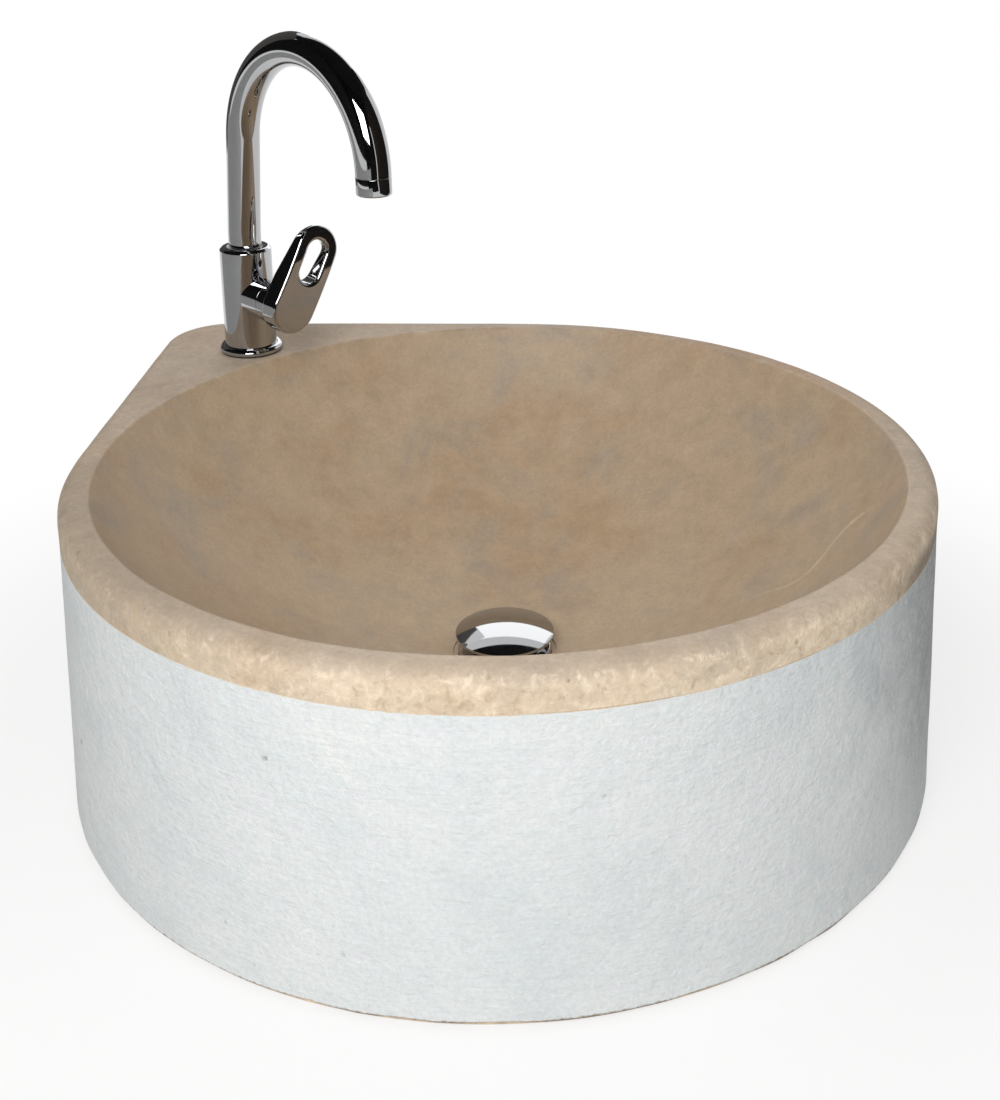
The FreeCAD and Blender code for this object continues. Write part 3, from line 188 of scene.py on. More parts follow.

    # a thin painted highlight, a pale line of gathered light, runs up the bowl at the right in a slow bend
    wave = addNode(tree, "ShaderNodeMath", {
        0: across, 1: 2 * math.pi / (look["highlightWave"] * mm), 2: look["highlightPhase"]},
        operation="MULTIPLY_ADD").outputs[0]
    wave = addNode(tree, "ShaderNodeMath", {0: wave}, operation="COSINE").outputs[0]
    aside = addNode(tree, "ShaderNodeMath", {
        0: wave, 1: look["highlightSway"] * mm, 2: along}, operation="MULTIPLY_ADD").outputs[0]
    highlighted = addNode(tree, "ShaderNodeMath", {
        0: aside, 1: look["highlightAt"] * mm, 2: look["highlightWidth"] * mm}, operation="COMPARE").outputs[0]
    highlighted = spanShare(tree, across, [end * mm for end in look["highlightReach"]], highlighted)

    tone = layerColours(tree, linear(look["bowl"]), [
        (onRim, 0.0, 1.0, 1.0, None, look["rimTop"]),
        # the outer face is painted lighter than the flat top: partly painted light and shade, as the face
        # turns to the light and the top away from it, and partly a creamier concrete
        (height, 195.5 * mm, 188.5 * mm, 1.0, onRim, look["rimFace"]),
        (ochre, 0.44, 0.66, 0.52, inBowl, look["ochre"]),
        (ash, 0.48, 0.70, 0.60, inBowl, look["ash"]),
        (patch, 0.50, 0.68, 0.60, onFace, look["shell"]),
        (patch, 0.46, 0.30, 0.60, onFace, look["hollow"]),
        (flecks.outputs["Distance"], 0.40, 0.15, 0.50, someFlecks, look["fleck"]),
        # painted shade darkens the pits
        (pits.outputs["Distance"], look["pitOuter"], look["pitInner"], 0.70, somePits, look["pitShade"]),
        # painted shade on the outer face at the right, where the rim turns away from the light
        (height, 193 * mm, 181 * mm, 0.60, shadedRight, look["rightShade"]),
        (patch, 0.30, 0.60, 0.45, rusty, look["rust"]),
        # painted shade on the rim at the left
        (patch, 0.15, 0.50, 0.42, shadedLeft, look["leftShade"]),
        # painted highlight: the pale line in the bowl
        (mottle, 0.25, 0.60, 0.55, highlighted, look["highlight"]),
    ])
    tone = shadeTone(tree, tone, [(mottle, 0.09), (patch, 0.05), (sand, 0.09)])
    tree.links.new(tone, shader.inputs["Base Color"])

    gloss = addNode(tree, "ShaderNodeMapRange", {
        "Value": mottle, "From Min": 0.3, "From Max": 0.7,
        "To Min": look["roughLow"], "To Max": look["roughHigh"]}).outputs[0]
    rough = addNode(tree, "ShaderNodeMath", {
        0: onRim, 1: look["rimRough"], 2: gloss}, operation="MULTIPLY_ADD").outputs[0]
    tree.links.new(rough, shader.inputs["Roughness"])

    grit = addNode(tree, "ShaderNodeMapRange", {
        "Value": onRim, "To Min": look["bowlGrit"], "To Max": look["rimGrit"]}).outputs[0]
    sandy = addNode(tree, "ShaderNodeMath", {0: sand, 1: grit}, operation="MULTIPLY").outputs[0]
    deep = addNode(tree, "ShaderNodeMapRange", {
        "Value": pits.outputs["Distance"], "From Min": look["pitOuter"], "From Max": look["pitInner"],
        "To Max": look["pitDepth"]}).outputs[0]
    sunk = addNode(tree, "ShaderNodeMath", {
        0: deep, 1: somePits, 2: sandy}, operation="MULTIPLY_ADD").outputs[0]
    waves = addNode(tree, "ShaderNodeBump", {
        "Height": mottle, "Distance": look["waveRelief"] * mm, "Strength": 0.35})
    relief = addNode(tree, "ShaderNodeBump", {
        "Height": sunk, "Distance": look["gritRelief"] * mm, "Strength": 0.7, "Normal": waves.outputs[0]})
    tree.links.new(relief.outputs[0], shader.inputs["Normal"])
    return material


def makeLimewash():
    # brushed limewash on plaster: chalky white with cool clouds, a fine speckle with faint tints, short
    # brush strokes, a few small dents with painted shade in them, grey painted shade at the right, a ragged
    # border and a bare foot
    look = {
        "white": "#dee1e1", "cool": "#d5d9da", "warm": "#e5e6e4", "aqua": "#d5dfdf", "lilac": "#dcdde2",
        "stroke": "#d6dada", "dentShade": "#b4bbba", "sideShade": "#77777b", "bare": "#d9c5a9", "foot": "#8a7760",
        "cloudSize": 70, "tintSize": 9, "speckleSize": 2.6, "strokeLength": 24, "strokeHeight": 2.4,
        "dentSize": 13, "dentRaggedness": 5, "dentFrom": 0.84, "cellFade": 0.06, "dentOuter": 0.20,
        "dentInner": 0.08, "dentDepth": -1.5, "sideShadeTurn": (-0.70, -0.10, -0.02, 0.95), "turnWander": 0.4,
        "sideShadeHeight": (-30, 130, 300, 400), "border": 175.5, "raggedness": 2.4,
        "roughness": 0.82, "specular": 0.25, "blotchShare": 3.0, "broadRelief": 0.7, "gritRelief": 0.5,
    }
    material, tree, shader = startMaterial("limewashed plaster")
    place = addNode(tree, "ShaderNodeTexCoord").outputs["Object"]
    parts = addNode(tree, "ShaderNodeSeparateXYZ", {0: place})
    across, along, height = [parts.outputs[axis] for axis in "XYZ"]
    patterns = [addNode(tree, "ShaderNodeTexNoise", {
        "Vector": place, "Scale": 1 / (look[size] * mm), "Detail": detail, "Roughness": 0.65,
        "Distortion": bend})
        for size, detail, bend in (("cloudSize", 5.0, 0.5), ("tintSize", 4.0, 0.3),
                                   ("speckleSize", 3.0, 0.0))]
    clouds, tint, speckle = [node.outputs[0] for node in patterns]
    brushed = addNode(tree, "ShaderNodeMapping", {
        "Vector": place,
        "Scale": [1 / (look[size] * mm) for size in ("strokeLength", "strokeLength", "strokeHeight")]})
    strokes = addNode(tree, "ShaderNodeTexNoise", {
        "Vector": brushed.outputs[0], "Scale": 1.0, "Detail": 4.0, "Roughness": 0.65}).outputs[0]
    ragged = addNode(tree, "ShaderNodeVectorMath", {
        0: patterns[-1].outputs["Color"], 1: [look["dentRaggedness"] * mm] * 3, 2: place},
        operation="MULTIPLY_ADD").outputs[0]
    dents = addNode(tree, "ShaderNodeTexVoronoi", {"Vector": ragged, "Scale": 1 / (look["dentSize"] * mm)})
    few = addNode(tree, "ShaderNodeMapRange", {
        "Value": dents.outputs["Color"], "From Min": look["dentFrom"],
        "From Max": look["dentFrom"] + look["cellFade"]}).outputs[0]

    # painted shade runs down below the rim's painted shade at the right and fades towards the foot
    wander = wanderingTurn(tree, across, along, clouds, look["turnWander"])
    sideShaded = spanShare(tree, wander, look["sideShadeTurn"], 1.0)
    sideShaded = spanShare(tree, height, [end * mm for end in look["sideShadeHeight"]], sideShaded)

    # the border wanders a little about its height, and the foot stays bare
    edge = addNode(tree, "ShaderNodeMath", {
        0: speckle, 1: look["raggedness"] * mm, 2: height}, operation="MULTIPLY_ADD").outputs[0]
    tone = layerColours(tree, linear(look["white"]), [
        (clouds, 0.46, 0.66, 0.80, None, look["cool"]),
        (clouds, 0.46, 0.30, 0.80, None, look["warm"]),
        (tint, 0.52, 0.70, 0.55, None, look["aqua"]),
        (tint, 0.48, 0.32, 0.55, None, look["lilac"]),
        (strokes, 0.52, 0.70, 0.50, None, look["stroke"]),
        # painted shade at the right side of the coat, where it turns away from the light
        (speckle, 0.24, 0.58, 0.48, sideShaded, look["sideShade"]),
        (tint, 0.36, 0.62, 0.24, sideShaded, look["sideShade"]),
        # painted shade in the dents
        (dents.outputs["Distance"], look["dentOuter"], look["dentInner"], 0.80, few, look["dentShade"]),
        (edge, (look["border"] + 0.5) * mm, (look["border"] + 1.0) * mm, 1.0, None, look["bare"]),
        (edge, 5.2 * mm, 3.6 * mm, 1.0, None, look["foot"]),
    ])
    tone = shadeTone(tree, tone, [(speckle, 0.07)])
    tree.links.new(tone, shader.inputs["Base Color"])
    shader.inputs["Roughness"].default_value = look["roughness"]
    shader.inputs["Specular IOR Level"].default_value = look["specular"]

    deep = addNode(tree, "ShaderNodeMapRange", {
        "Value": dents.outputs["Distance"], "From Min": look["dentOuter"], "From Max": look["dentInner"],
        "To Max": look["dentDepth"]}).outputs[0]
    ridges = addNode(tree, "ShaderNodeMath", {
        0: deep, 1: few, 2: strokes}, operation="MULTIPLY_ADD").outputs[0]
    blotches = addNode(tree, "ShaderNodeMath", {
        0: tint, 1: look["blotchShare"], 2: ridges}, operation="MULTIPLY_ADD").outputs[0]
    broad = addNode(tree, "ShaderNodeBump", {
        "Height": blotches, "Distance": look["broadRelief"] * mm, "Strength": 0.7})
    grit = addNode(tree, "ShaderNodeBump", {
        "Height": speckle, "Distance": look["gritRelief"] * mm, "Strength": 0.5, "Normal": broad.outputs[0]})
    tree.links.new(grit.outputs[0], shader.inputs["Normal"])
    return material


def makeMetal(name, colour, low, high, smudgeSize):
    # a metal whose gloss varies softly, as handling and polishing leave it
    material, tree, shader = startMaterial(name)
    place = addNode(tree, "ShaderNodeTexCoord").outputs["Object"]
    smudge = addNode(tree, "ShaderNodeTexNoise", {
        "Vector": place, "Scale": 1 / (smudgeSize * mm), "Detail": 5.0, "Roughness": 0.65})
    gloss = addNode(tree, "ShaderNodeMapRange", {
        "Value": smudge.outputs[0], "From Min": 0.35, "From Max": 0.7, "To Min": low, "To Max": high})
    tree.links.new(gloss.outputs[0], shader.inputs["Roughness"])
    shader.inputs["Base Color"].default_value = linear(colour)
    shader.inputs["Metallic"].default_value = 1.0
    return material


def makeMoulded(name, light, dark, rough, grainSize, depth):
    # a moulded or cut material with a faint tone change and a fine surface grain
    material, tree, shader = startMaterial(name)
    place = addNode(tree, "ShaderNodeTexCoord").outputs["Object"]
    grain = addNode(tree, "ShaderNodeTexNoise", {
        "Vector": place, "Scale": 1 / (grainSize * mm), "Detail": 4.0, "Roughness": 0.6})
    tone = addNode(tree, "ShaderNodeMix", {
        0: grain.outputs[0], 6: linear(dark), 7: linear(light)}, data_type="RGBA")
    bump = addNode(tree, "ShaderNodeBump", {
        "Height": grain.outputs[0], "Distance": depth * mm, "Strength": 0.4})
    tree.links.new(tone.outputs[2], shader.inputs["Base Color"])
    tree.links.new(bump.outputs[0], shader.inputs["Normal"])
    shader.inputs["Roughness"].default_value = rough
    return material


concrete = makeConcrete()
limewash = makeLimewash()
chrome = makeMetal("chrome plated brass, polished", "#b2b3b5", 0.03, 0.075, 18)  # a mirror, faintly smudged
brass = makeMetal("brass, machined", "#c9a25c", 0.22, 0.34, 4)  # warm yellow, satin from the lathe
steel = makeMetal("stainless steel, drawn", "#b9babc", 0.24, 0.36, 3)  # plain grey, satin
rubber = makeMoulded("EPDM rubber, moulded", "#26262a", "#19191b", 0.75, 1.2, 0.05)  # nearly black, matt
acetal = makeMoulded("acetal, moulded", "#d9d9d4", "#cfcfc9", 0.45, 1.5, 0.02)  # milky white, waxy
alumina = makeMoulded("alumina ceramic, lapped", "#efece4", "#e6e2d8", 0.25, 1.0, 0.005)  # ivory, smooth
plugPlastic = makeMoulded("ABS, moulded", "#5d5d60", "#515154", 0.35, 1.0, 0.01)  # mid grey, a soft shine
print("materials made")


# ways of working

def selectOnly(piece):
    bpy.ops.object.select_all(action="DESELECT")
    piece.select_set(True)
    bpy.context.view_layer.objects.active = piece


def startMesh(name, segments, radius, height, turn=0.0):
    # deselects everything and opens a new circle for editing
    bpy.ops.object.select_all(action="DESELECT")
    bpy.ops.mesh.primitive_circle_add(
        vertices=segments, radius=radius, location=(0, 0, height), rotation=(0, 0, turn))
    piece = bpy.context.object
    piece.name = name
    bpy.ops.object.transform_apply(location=True, rotation=True, scale=True)
    bpy.ops.object.mode_set(mode="EDIT")
    bpy.ops.mesh.select_all(action="SELECT")
    return piece


def closeMesh():
    # merges doubles, turns the faces outwards and leaves edit mode
    bpy.ops.mesh.select_all(action="SELECT")
    bpy.ops.mesh.remove_doubles(threshold=1e-6)
    bpy.ops.mesh.normals_make_consistent(inside=False)
    bpy.ops.object.mode_set(mode="OBJECT")


def applyModifier(piece, kind, **settings):
    modifier = piece.modifiers.new(kind.lower(), kind)
    for name, value in settings.items():
        setattr(modifier, name, value)
    bpy.context.view_layer.objects.active = piece
    bpy.ops.object.modifier_apply(modifier=modifier.name)


def combineWith(piece, tool, operation):
    applyModifier(piece, "BOOLEAN", object=tool, operation=operation, solver="EXACT")
    bpy.data.objects.remove(tool)


def evenShading(piece):
    # new normals after a cut: large faces stay flat and the edges between them sharp
    selectOnly(piece)
    bpy.ops.mesh.customdata_custom_splitnormals_clear()
    bpy.ops.object.shade_smooth_by_angle(angle=math.radians(sharpAngle))
    applyModifier(piece, "WEIGHTED_NORMAL", mode="FACE_AREA", weight=50, keep_sharp=True)


def arcRings(radius, middle, first, last, steps, out=0.0):
    # rings along an arc, from one angle off the upright axis to another
    rings = []
    for step in range(steps + 1):
        turn = first + (last - first) * step / steps
        rings.append((out + radius * math.sin(turn), middle + radius * math.cos(turn)))
    return rings


def turnPiece(name, rings, segments=96, edge=0.4):
    # a turned piece: each ring is a radius and a height; the last one joins the first, or ends in a point
    piece = startMesh(name, segments, rings[0][0] * mm, rings[0][1] * mm)
    for (r0, z0), (r1, z1) in zip(rings, rings[1:]):
        bpy.ops.mesh.extrude_region_move(TRANSFORM_OT_translate={"value": (0, 0, (z1 - z0) * mm)})
        if r1 == 0:
            bpy.ops.mesh.merge(type="CENTER")
        else:
            bpy.ops.transform.resize(value=(r1 / r0, r1 / r0, 1), center_override=(0, 0, 0))
    bpy.ops.mesh.select_all(action="SELECT")
    bpy.ops.mesh.region_to_loop()
    if rings[-1][0] > 0:
        bpy.ops.mesh.bridge_edge_loops()
    else:
        bpy.ops.mesh.edge_face_add()
    closeMesh()
    if edge:
        applyModifier(piece, "BEVEL", width=edge * mm, segments=3, limit_method="ANGLE",
                      angle_limit=math.radians(bevelAngle), harden_normals=True)
    return piece


def finishPiece(piece, body, material, nodes, place=None, smooth=sharpAngle):
    # puts a piece in its place in the mesh, shades it, ties it to its body and hides the CAD nodes it stands
    # in for
    selectOnly(piece)
    if place is not None:
        piece.matrix_world = place @ piece.matrix_world
    bpy.ops.object.transform_apply(location=True, rotation=True, scale=True)
    bpy.ops.object.shade_smooth_by_angle(angle=math.radians(smooth))
    piece.data.materials.clear()
    piece.data.materials.append(material)
    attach(piece, body)
    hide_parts(*nodes)
    print("piece:", piece.name, len(piece.data.polygons), "faces")


# basin and coat

basin = {
    "segments": 480, "rim": 270, "corner": 48, "flare": 5.4, "height": 197, "border": 175.5,
    "borderStep": 0.2, "coat": 2.5, "outerRound": 10, "innerRound": 3, "sphere": 293, "shell": 26,
    "seat": 55, "seatStep": 1, "recess": 34, "drainHole": 22.45, "underRecess": 45, "underSeat": 35,
    "underReach": 240, "skirt": 25, "deck": 32,
    "wallLevels": (0, 30, 90, 150), "faceLevels": (178, 181, 184), "insideLevels": (80, 0),
    "roundSteps": 10, "deckSteps": 10, "lipSteps": 6, "bowlSteps": 56, "underSteps": 12,
    "unevenness": 0.7, "waveSize": 55, "smooth": 40,
    "faucetX": -198.5, "faucetY": 198.5, "faucetHole": 17.5, "holeMiddle": 180, "holeDepth": 100,
    "holeSides": 64,
}


def planReach(angle, reach, corner):
    # distance from the middle to the outline, which is round but for the square corner at the back left
    across, along = -math.cos(angle), math.sin(angle)
    if across <= 0 or along <= 0:
        return reach
    straight = reach / max(across, along)
    if straight * min(across, along) <= reach - corner:
        return straight
    inner = (reach - corner) * (across + along)
    return inner + math.sqrt(inner ** 2 - 2 * (reach - corner) ** 2 + corner ** 2)


def outlineAt(reach):
    corner = basin["corner"] + reach - basin["rim"]
    return lambda angle: planReach(angle, reach, corner)


def wallReach(level):
    # the coat's outside, which flares towards the foot
    return basin["rim"] + basin["flare"] * (1 - level / basin["border"])


def shapeRing(piece, reach, height):
    # moves the selected ring out or in along its rays, and to its height
    mesh = bmesh.from_edit_mesh(piece.data)
    for vert in mesh.verts:
        if vert.select:
            angle = math.atan2(vert.co.y, vert.co.x)
            distance = reach(angle) if callable(reach) else reach
            level = height(angle) if callable(height) else height
            vert.co = Vector((math.cos(angle) * distance, math.sin(angle) * distance, level)) * mm
    bmesh.update_edit_mesh(piece.data)


def ringPiece(name, rings):
    # a closed piece drawn ring by ring with extrusions
    piece = startMesh(name, basin["segments"], basin["rim"] * mm, 0.0, math.pi / basin["segments"])
    shapeRing(piece, *rings[0])
    for reach, height in rings[1:]:
        bpy.ops.mesh.extrude_region_move()
        shapeRing(piece, reach, height)
    bpy.ops.mesh.select_all(action="SELECT")
    bpy.ops.mesh.region_to_loop()
    bpy.ops.mesh.bridge_edge_loops()
    closeMesh()
    return piece


def unevenSurface(piece, textureName):
    # a slow hand-cast waviness of well under a millimetre
    clouds = bpy.data.textures.new(textureName, "CLOUDS")
    clouds.noise_scale = basin["waveSize"] * mm
    clouds.noise_depth = 2
    applyModifier(piece, "DISPLACE", texture=clouds, strength=basin["unevenness"] * mm, mid_level=0.5,
                  texture_coords="LOCAL")


def outsideRings():
    # from the foot, up the wall and round the rim
    b = basin
    rings = []
    for level in b["wallLevels"] + (b["border"] - b["borderStep"],):
        rings.append((outlineAt(wallReach(level) - b["coat"]), level))
    roundStart = b["height"] - b["outerRound"]
    for level in (b["border"],) + b["faceLevels"] + (roundStart,):
        rings.append((outlineAt(b["rim"]), level))
    for reach, level in arcRings(b["outerRound"], roundStart, math.pi / 2, 0, b["roundSteps"],
                                 b["rim"] - b["outerRound"])[1:]:
        rings.append((outlineAt(reach), level))
    return rings


def bowlRings(ballZ):
    # across the deck, over the lip and down the ball-shaped bowl to the waste's hole
    b = basin
    lip = b["sphere"] + b["innerRound"]
    lipLevel = b["height"] - b["innerRound"]
    edge = math.sqrt(lip ** 2 - (ballZ - lipLevel) ** 2)
    flat = outlineAt(b["rim"] - b["outerRound"])
    rings = []
    for step in range(1, b["deckSteps"] + 1):
        share = step / b["deckSteps"]
        rings.append((lambda angle, part=share: flat(angle) + (edge - flat(angle)) * part, b["height"]))
    lipTurn = math.asin(edge / lip)
    rings += arcRings(b["innerRound"], lipLevel, 0, -lipTurn, b["lipSteps"], edge)[1:]
    bottomTurn = math.asin(b["recess"] / b["sphere"])
    rings += arcRings(b["sphere"], ballZ, math.pi - lipTurn, math.pi - bottomTurn, b["bowlSteps"])[1:]
    return rings + [(b["recess"], b["seat"]), (b["drainHole"], b["seat"]), (b["drainHole"], b["underSeat"]),
                    (b["underRecess"], b["underSeat"])]


def undersideRings(ballZ):
    # out along the bowl's underside to the ceiling below the deck, and down the inside of the skirt
    b = basin
    underBall = b["sphere"] + b["shell"]
    ceilingDrop = ballZ - b["height"] + b["deck"]
    ceilingReach = math.sqrt(underBall ** 2 - ceilingDrop ** 2)
    wall = outlineAt(b["rim"] - b["skirt"])

    def ballLevel(reach):
        return ballZ - math.sqrt(underBall ** 2 - reach ** 2)

    def meetReach(angle):
        return min(wall(angle), ceilingReach)

    def meetLevel(angle):
        return ballLevel(meetReach(angle))

    rings = []
    for step in range(b["underSteps"] + 1):
        reach = b["underRecess"] + (b["underReach"] - b["underRecess"]) * step / b["underSteps"]
        rings.append((reach, ballLevel(reach)))
    rings += [(meetReach, meetLevel), (wall, meetLevel)]
    return rings + [(wall, level) for level in b["insideLevels"]]


def makeBasin():
    b = basin
    ballZ = b["seat"] + b["seatStep"] + math.sqrt(b["sphere"] ** 2 - b["recess"] ** 2)
    piece = ringPiece("basinCasting", outsideRings() + bowlRings(ballZ) + undersideRings(ballZ))
    unevenSurface(piece, "castWaves")
    bpy.ops.mesh.primitive_cylinder_add(
        vertices=b["holeSides"], radius=b["faucetHole"] * mm, depth=b["holeDepth"] * mm,
        location=(b["faucetX"] * mm, b["faucetY"] * mm, b["holeMiddle"] * mm))
    combineWith(piece, bpy.context.object, "DIFFERENCE")
    finishPiece(piece, "basin", concrete, ["basin_casting", "basin_bowl"], smooth=b["smooth"])


coat = {
    "foot": 2, "raggedness": 1.6, "raggedWaves": 9, "raggedSeed": 0.3, "edgeIn": 0.8, "edgeUp": 1.0,
    "start": 4, "steps": 36, "insideLevels": (120, 60),
}


def makeCoat():
    b, c = basin, coat
    footReach = wallReach(c["foot"])

    def raggedFoot(angle, up=0.0):
        spot = (math.cos(angle) * c["raggedWaves"], math.sin(angle) * c["raggedWaves"], c["raggedSeed"])
        return c["foot"] + c["raggedness"] * noise.noise(spot) + up

    rings = [(outlineAt(footReach - b["coat"]), raggedFoot),
             (outlineAt(footReach - c["edgeIn"]), raggedFoot),
             (outlineAt(footReach), lambda angle: raggedFoot(angle, c["edgeUp"]))]
    for step in range(1, c["steps"] + 1):
        level = c["start"] + (b["border"] - c["start"]) * step / c["steps"]
        rings.append((outlineAt(wallReach(level)), level))
    for level in (b["border"],) + c["insideLevels"]:
        rings.append((outlineAt(wallReach(level) - b["coat"]), level))
    piece = ringPiece("limewashCoat", rings)
    unevenSurface(piece, "coatWaves")
    finishPiece(piece, "basin", limewash, ["outer_coat"], smooth=b["smooth"])


makeBasin()
makeCoat()


# faucet

faucet = {
    "turn": -45, "segments": 128, "radius": 19, "low": 6.2, "high": 81, "bevel": 2, "edge": 0.5,
    "bore": 13, "boreFloor": 57.5, "shank": 15.5, "shankLow": -12, "passageLow": 6.2, "passageHigh": 5.2,
    "bossHeight": 44, "bossRadius": 15, "bossCore": 2, "bossStart": 8, "bossLength": 32, "bossEdge": 0.4,
    "chamber": 13.6, "chamberFloor": 14, "overrun": 1,
}
onFaucet = (Matrix.Translation((basin["faucetX"] * mm, basin["faucetY"] * mm, basin["height"] * mm))
            @ Matrix.Rotation(math.radians(faucet["turn"]), 4, "Z"))
bossMiddle = Matrix.Translation((0, 0, faucet["bossHeight"] * mm))
alongBoss = bossMiddle @ Matrix.Rotation(math.radians(90), 4, "Y")


def makeFaucetBarrel():
    # a turned barrel with a side boss, and the cartridge's chamber cut into both
    f = faucet
    barrel = turnPiece("faucetBarrel", [
        (f["passageLow"], f["shankLow"]), (f["shank"], f["shankLow"]), (f["shank"], f["low"]),
        (f["radius"], f["low"]), (f["radius"], f["high"] - f["bevel"]),
        (f["radius"] - f["bevel"], f["high"]), (f["bore"], f["high"]), (f["bore"], f["boreFloor"]),
        (f["passageHigh"], f["boreFloor"])],
        f["segments"], f["edge"])
    boss = turnPiece("boss", [
        (f["bossCore"], f["bossStart"]), (f["bossRadius"], f["bossStart"]),
        (f["bossRadius"], f["bossLength"]), (f["bossCore"], f["bossLength"])], f["segments"], f["bossEdge"])
    boss.matrix_world = alongBoss
    combineWith(barrel, boss, "UNION")
    depth = f["bossLength"] + f["overrun"] - f["chamberFloor"]
    bpy.ops.mesh.primitive_cylinder_add(vertices=f["segments"], radius=f["chamber"] * mm, depth=depth * mm)
    chamber = bpy.context.object
    chamber.matrix_world = alongBoss @ Matrix.Translation((0, 0, (f["chamberFloor"] + depth / 2) * mm))
    combineWith(barrel, chamber, "DIFFERENCE")
    evenShading(barrel)
    finishPiece(barrel, "basin", chrome, ["faucet_body"], onFaucet)


baseRing = {"bore": 15.6, "radius": 23, "low": 1.2, "high": 6.2, "bevel": 2, "edge": 0.7, "segments": 128}


def makeBaseRing():
    r = baseRing
    ring = turnPiece("baseRing", [
        (r["bore"], r["low"]), (r["radius"], r["low"]), (r["radius"], r["high"] - r["bevel"]),
        (r["radius"] - r["bevel"], r["high"]), (r["bore"], r["high"])], r["segments"], r["edge"])
    finishPiece(ring, "basin", chrome, ["base_ring"], onFaucet)


sleeve = {"start": 32.5, "radius": 15, "bore": 13.65, "pivot": 36, "dome": 16.2, "inside": 14.2,
          "opening": 10.5, "domeSteps": 8, "insideSteps": 5, "segments": 128}


def makeCoverSleeve():
    # a dome about the lever's pivot, open in front for the stem
    s = sleeve
    dome = arcRings(s["dome"], s["pivot"], math.asin(s["radius"] / s["dome"]),
                    math.asin(s["opening"] / s["dome"]), s["domeSteps"])
    inside = arcRings(s["inside"], s["pivot"], math.asin(s["opening"] / s["inside"]),
                      math.asin(s["bore"] / s["inside"]), s["insideSteps"])
    rings = [(s["bore"], s["start"]), (s["radius"], s["start"])] + dome + inside
    piece = turnPiece("coverSleeve", rings, s["segments"], 0)
    finishPiece(piece, "basin", chrome, ["cover_sleeve"], onFaucet @ alongBoss)


tube = {"radius": 12, "wall": 1.5, "start": 81.5, "straight": 4, "lean": 5, "bend": 120, "neck": 69,
        "arch": 76, "segments": 96, "leanSteps": 4, "archSteps": 90, "edge": 0.25, "edgeAngle": 50}


def makeSpout():
    # a circle drawn up, leant back, up the neck and round the arch; gives the arch's middle
    t = tube
    lean = math.radians(t["lean"])
    foot = t["start"] + t["straight"]
    piece = startMesh("spoutTube", t["segments"], t["radius"] * mm, t["start"] * mm)
    bpy.ops.mesh.extrude_region_move(TRANSFORM_OT_translate={"value": (0, 0, t["straight"] * mm)})
    bpy.ops.mesh.spin(
        steps=t["leanSteps"], angle=-lean, center=(t["bend"] * mm, 0, foot * mm), axis=(0, 1, 0))
    along = Vector((math.sin(lean), 0, math.cos(lean)))
    bpy.ops.mesh.extrude_region_move(TRANSFORM_OT_translate={"value": along * t["neck"] * mm})
    neckFoot = Vector((t["bend"] * (1 - math.cos(lean)), 0, foot + t["bend"] * math.sin(lean)))
    middle = neckFoot + along * t["neck"] + Vector((math.cos(lean), 0, -math.sin(lean))) * t["arch"]
    bpy.ops.mesh.spin(steps=t["archSteps"], angle=-(math.pi - lean), center=middle * mm, axis=(0, 1, 0))
    closeMesh()
    applyModifier(piece, "SOLIDIFY", thickness=t["wall"] * mm, offset=-1.0)
    applyModifier(piece, "BEVEL", width=t["edge"] * mm, segments=2, limit_method="ANGLE",
                  angle_limit=math.radians(t["edgeAngle"]), harden_normals=True)
    finishPiece(piece, "spout", chrome, ["spout_tube"], onFaucet)
    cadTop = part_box("spout_tube")[1].z
    print("spout height off by mm:", round((max(v.co.z for v in piece.data.vertices) - cadTop) / mm, 3))
    return middle


collar = {"length": 12, "chamfer": 0.8, "seamIn": 0.4, "seamDown": 0.25, "mouth": 8.6, "lip": 1, "bore": 9.6,
          "spigot": 10.4, "spigotBore": 8.9, "spigotLength": 3, "edge": 0.2, "segments": 96}


def makeAerator(middle):
    # the outlet's collar: flush with the tube below a fine seam, with a spigot that goes up into it
    c, radius = collar, tube["radius"]
    lipTop = c["lip"] - c["length"]
    piece = turnPiece("aeratorCollar", [
        (c["mouth"], -c["length"]), (radius - c["chamfer"], -c["length"]),
        (radius, c["chamfer"] - c["length"]), (radius, -c["seamDown"]), (radius - c["seamIn"], 0),
        (c["spigot"], 0), (c["spigot"], c["spigotLength"]), (c["spigotBore"], c["spigotLength"]),
        (c["spigotBore"], 0), (c["bore"], 0), (c["bore"], lipTop), (c["mouth"], lipTop)],
        c["segments"], c["edge"])
    outlet = Matrix.Translation(((middle.x + tube["arch"]) * mm, 0, middle.z * mm))
    finishPiece(piece, "spout", chrome, ["aerator_housing"], onFaucet @ outlet)


lever = {
    "radius": 18, "length": 47, "back": 43.39, "front": 60, "tip": 8, "taperStart": 18.5, "wedgeDepth": 30,
    "slotRadius": 8.5, "slotLow": 29.5, "slotHigh": 45.5, "overrun": 5, "edge": 2.6, "edgeAngle": 40,
    "turn": -31, "recess": 16.9, "recessSegments": 96, "pivot": 36,
    "crown": 430, "crownAt": 12, "crownDepth": 6, "crownFade": 3,
    "cutStart": -17, "cutEnd": 72, "cutStep": 3, "segments": 128,
}


def slotOutline(name, radius, low, high, front, back):
    # a slot-ended plate: the upper half of a circle is moved up, filled and extruded backwards
    piece = startMesh(name, lever["segments"], radius * mm, front * mm, math.pi / lever["segments"])
    mesh = bmesh.from_edit_mesh(piece.data)
    for vert in mesh.verts:
        vert.co.y += (high if vert.co.y > 0 else low) * mm
    bmesh.update_edit_mesh(piece.data)
    bpy.ops.mesh.edge_face_add()
    bpy.ops.mesh.extrude_region_move(TRANSFORM_OT_translate={"value": (0, 0, (back - front) * mm)})
    closeMesh()
    return piece


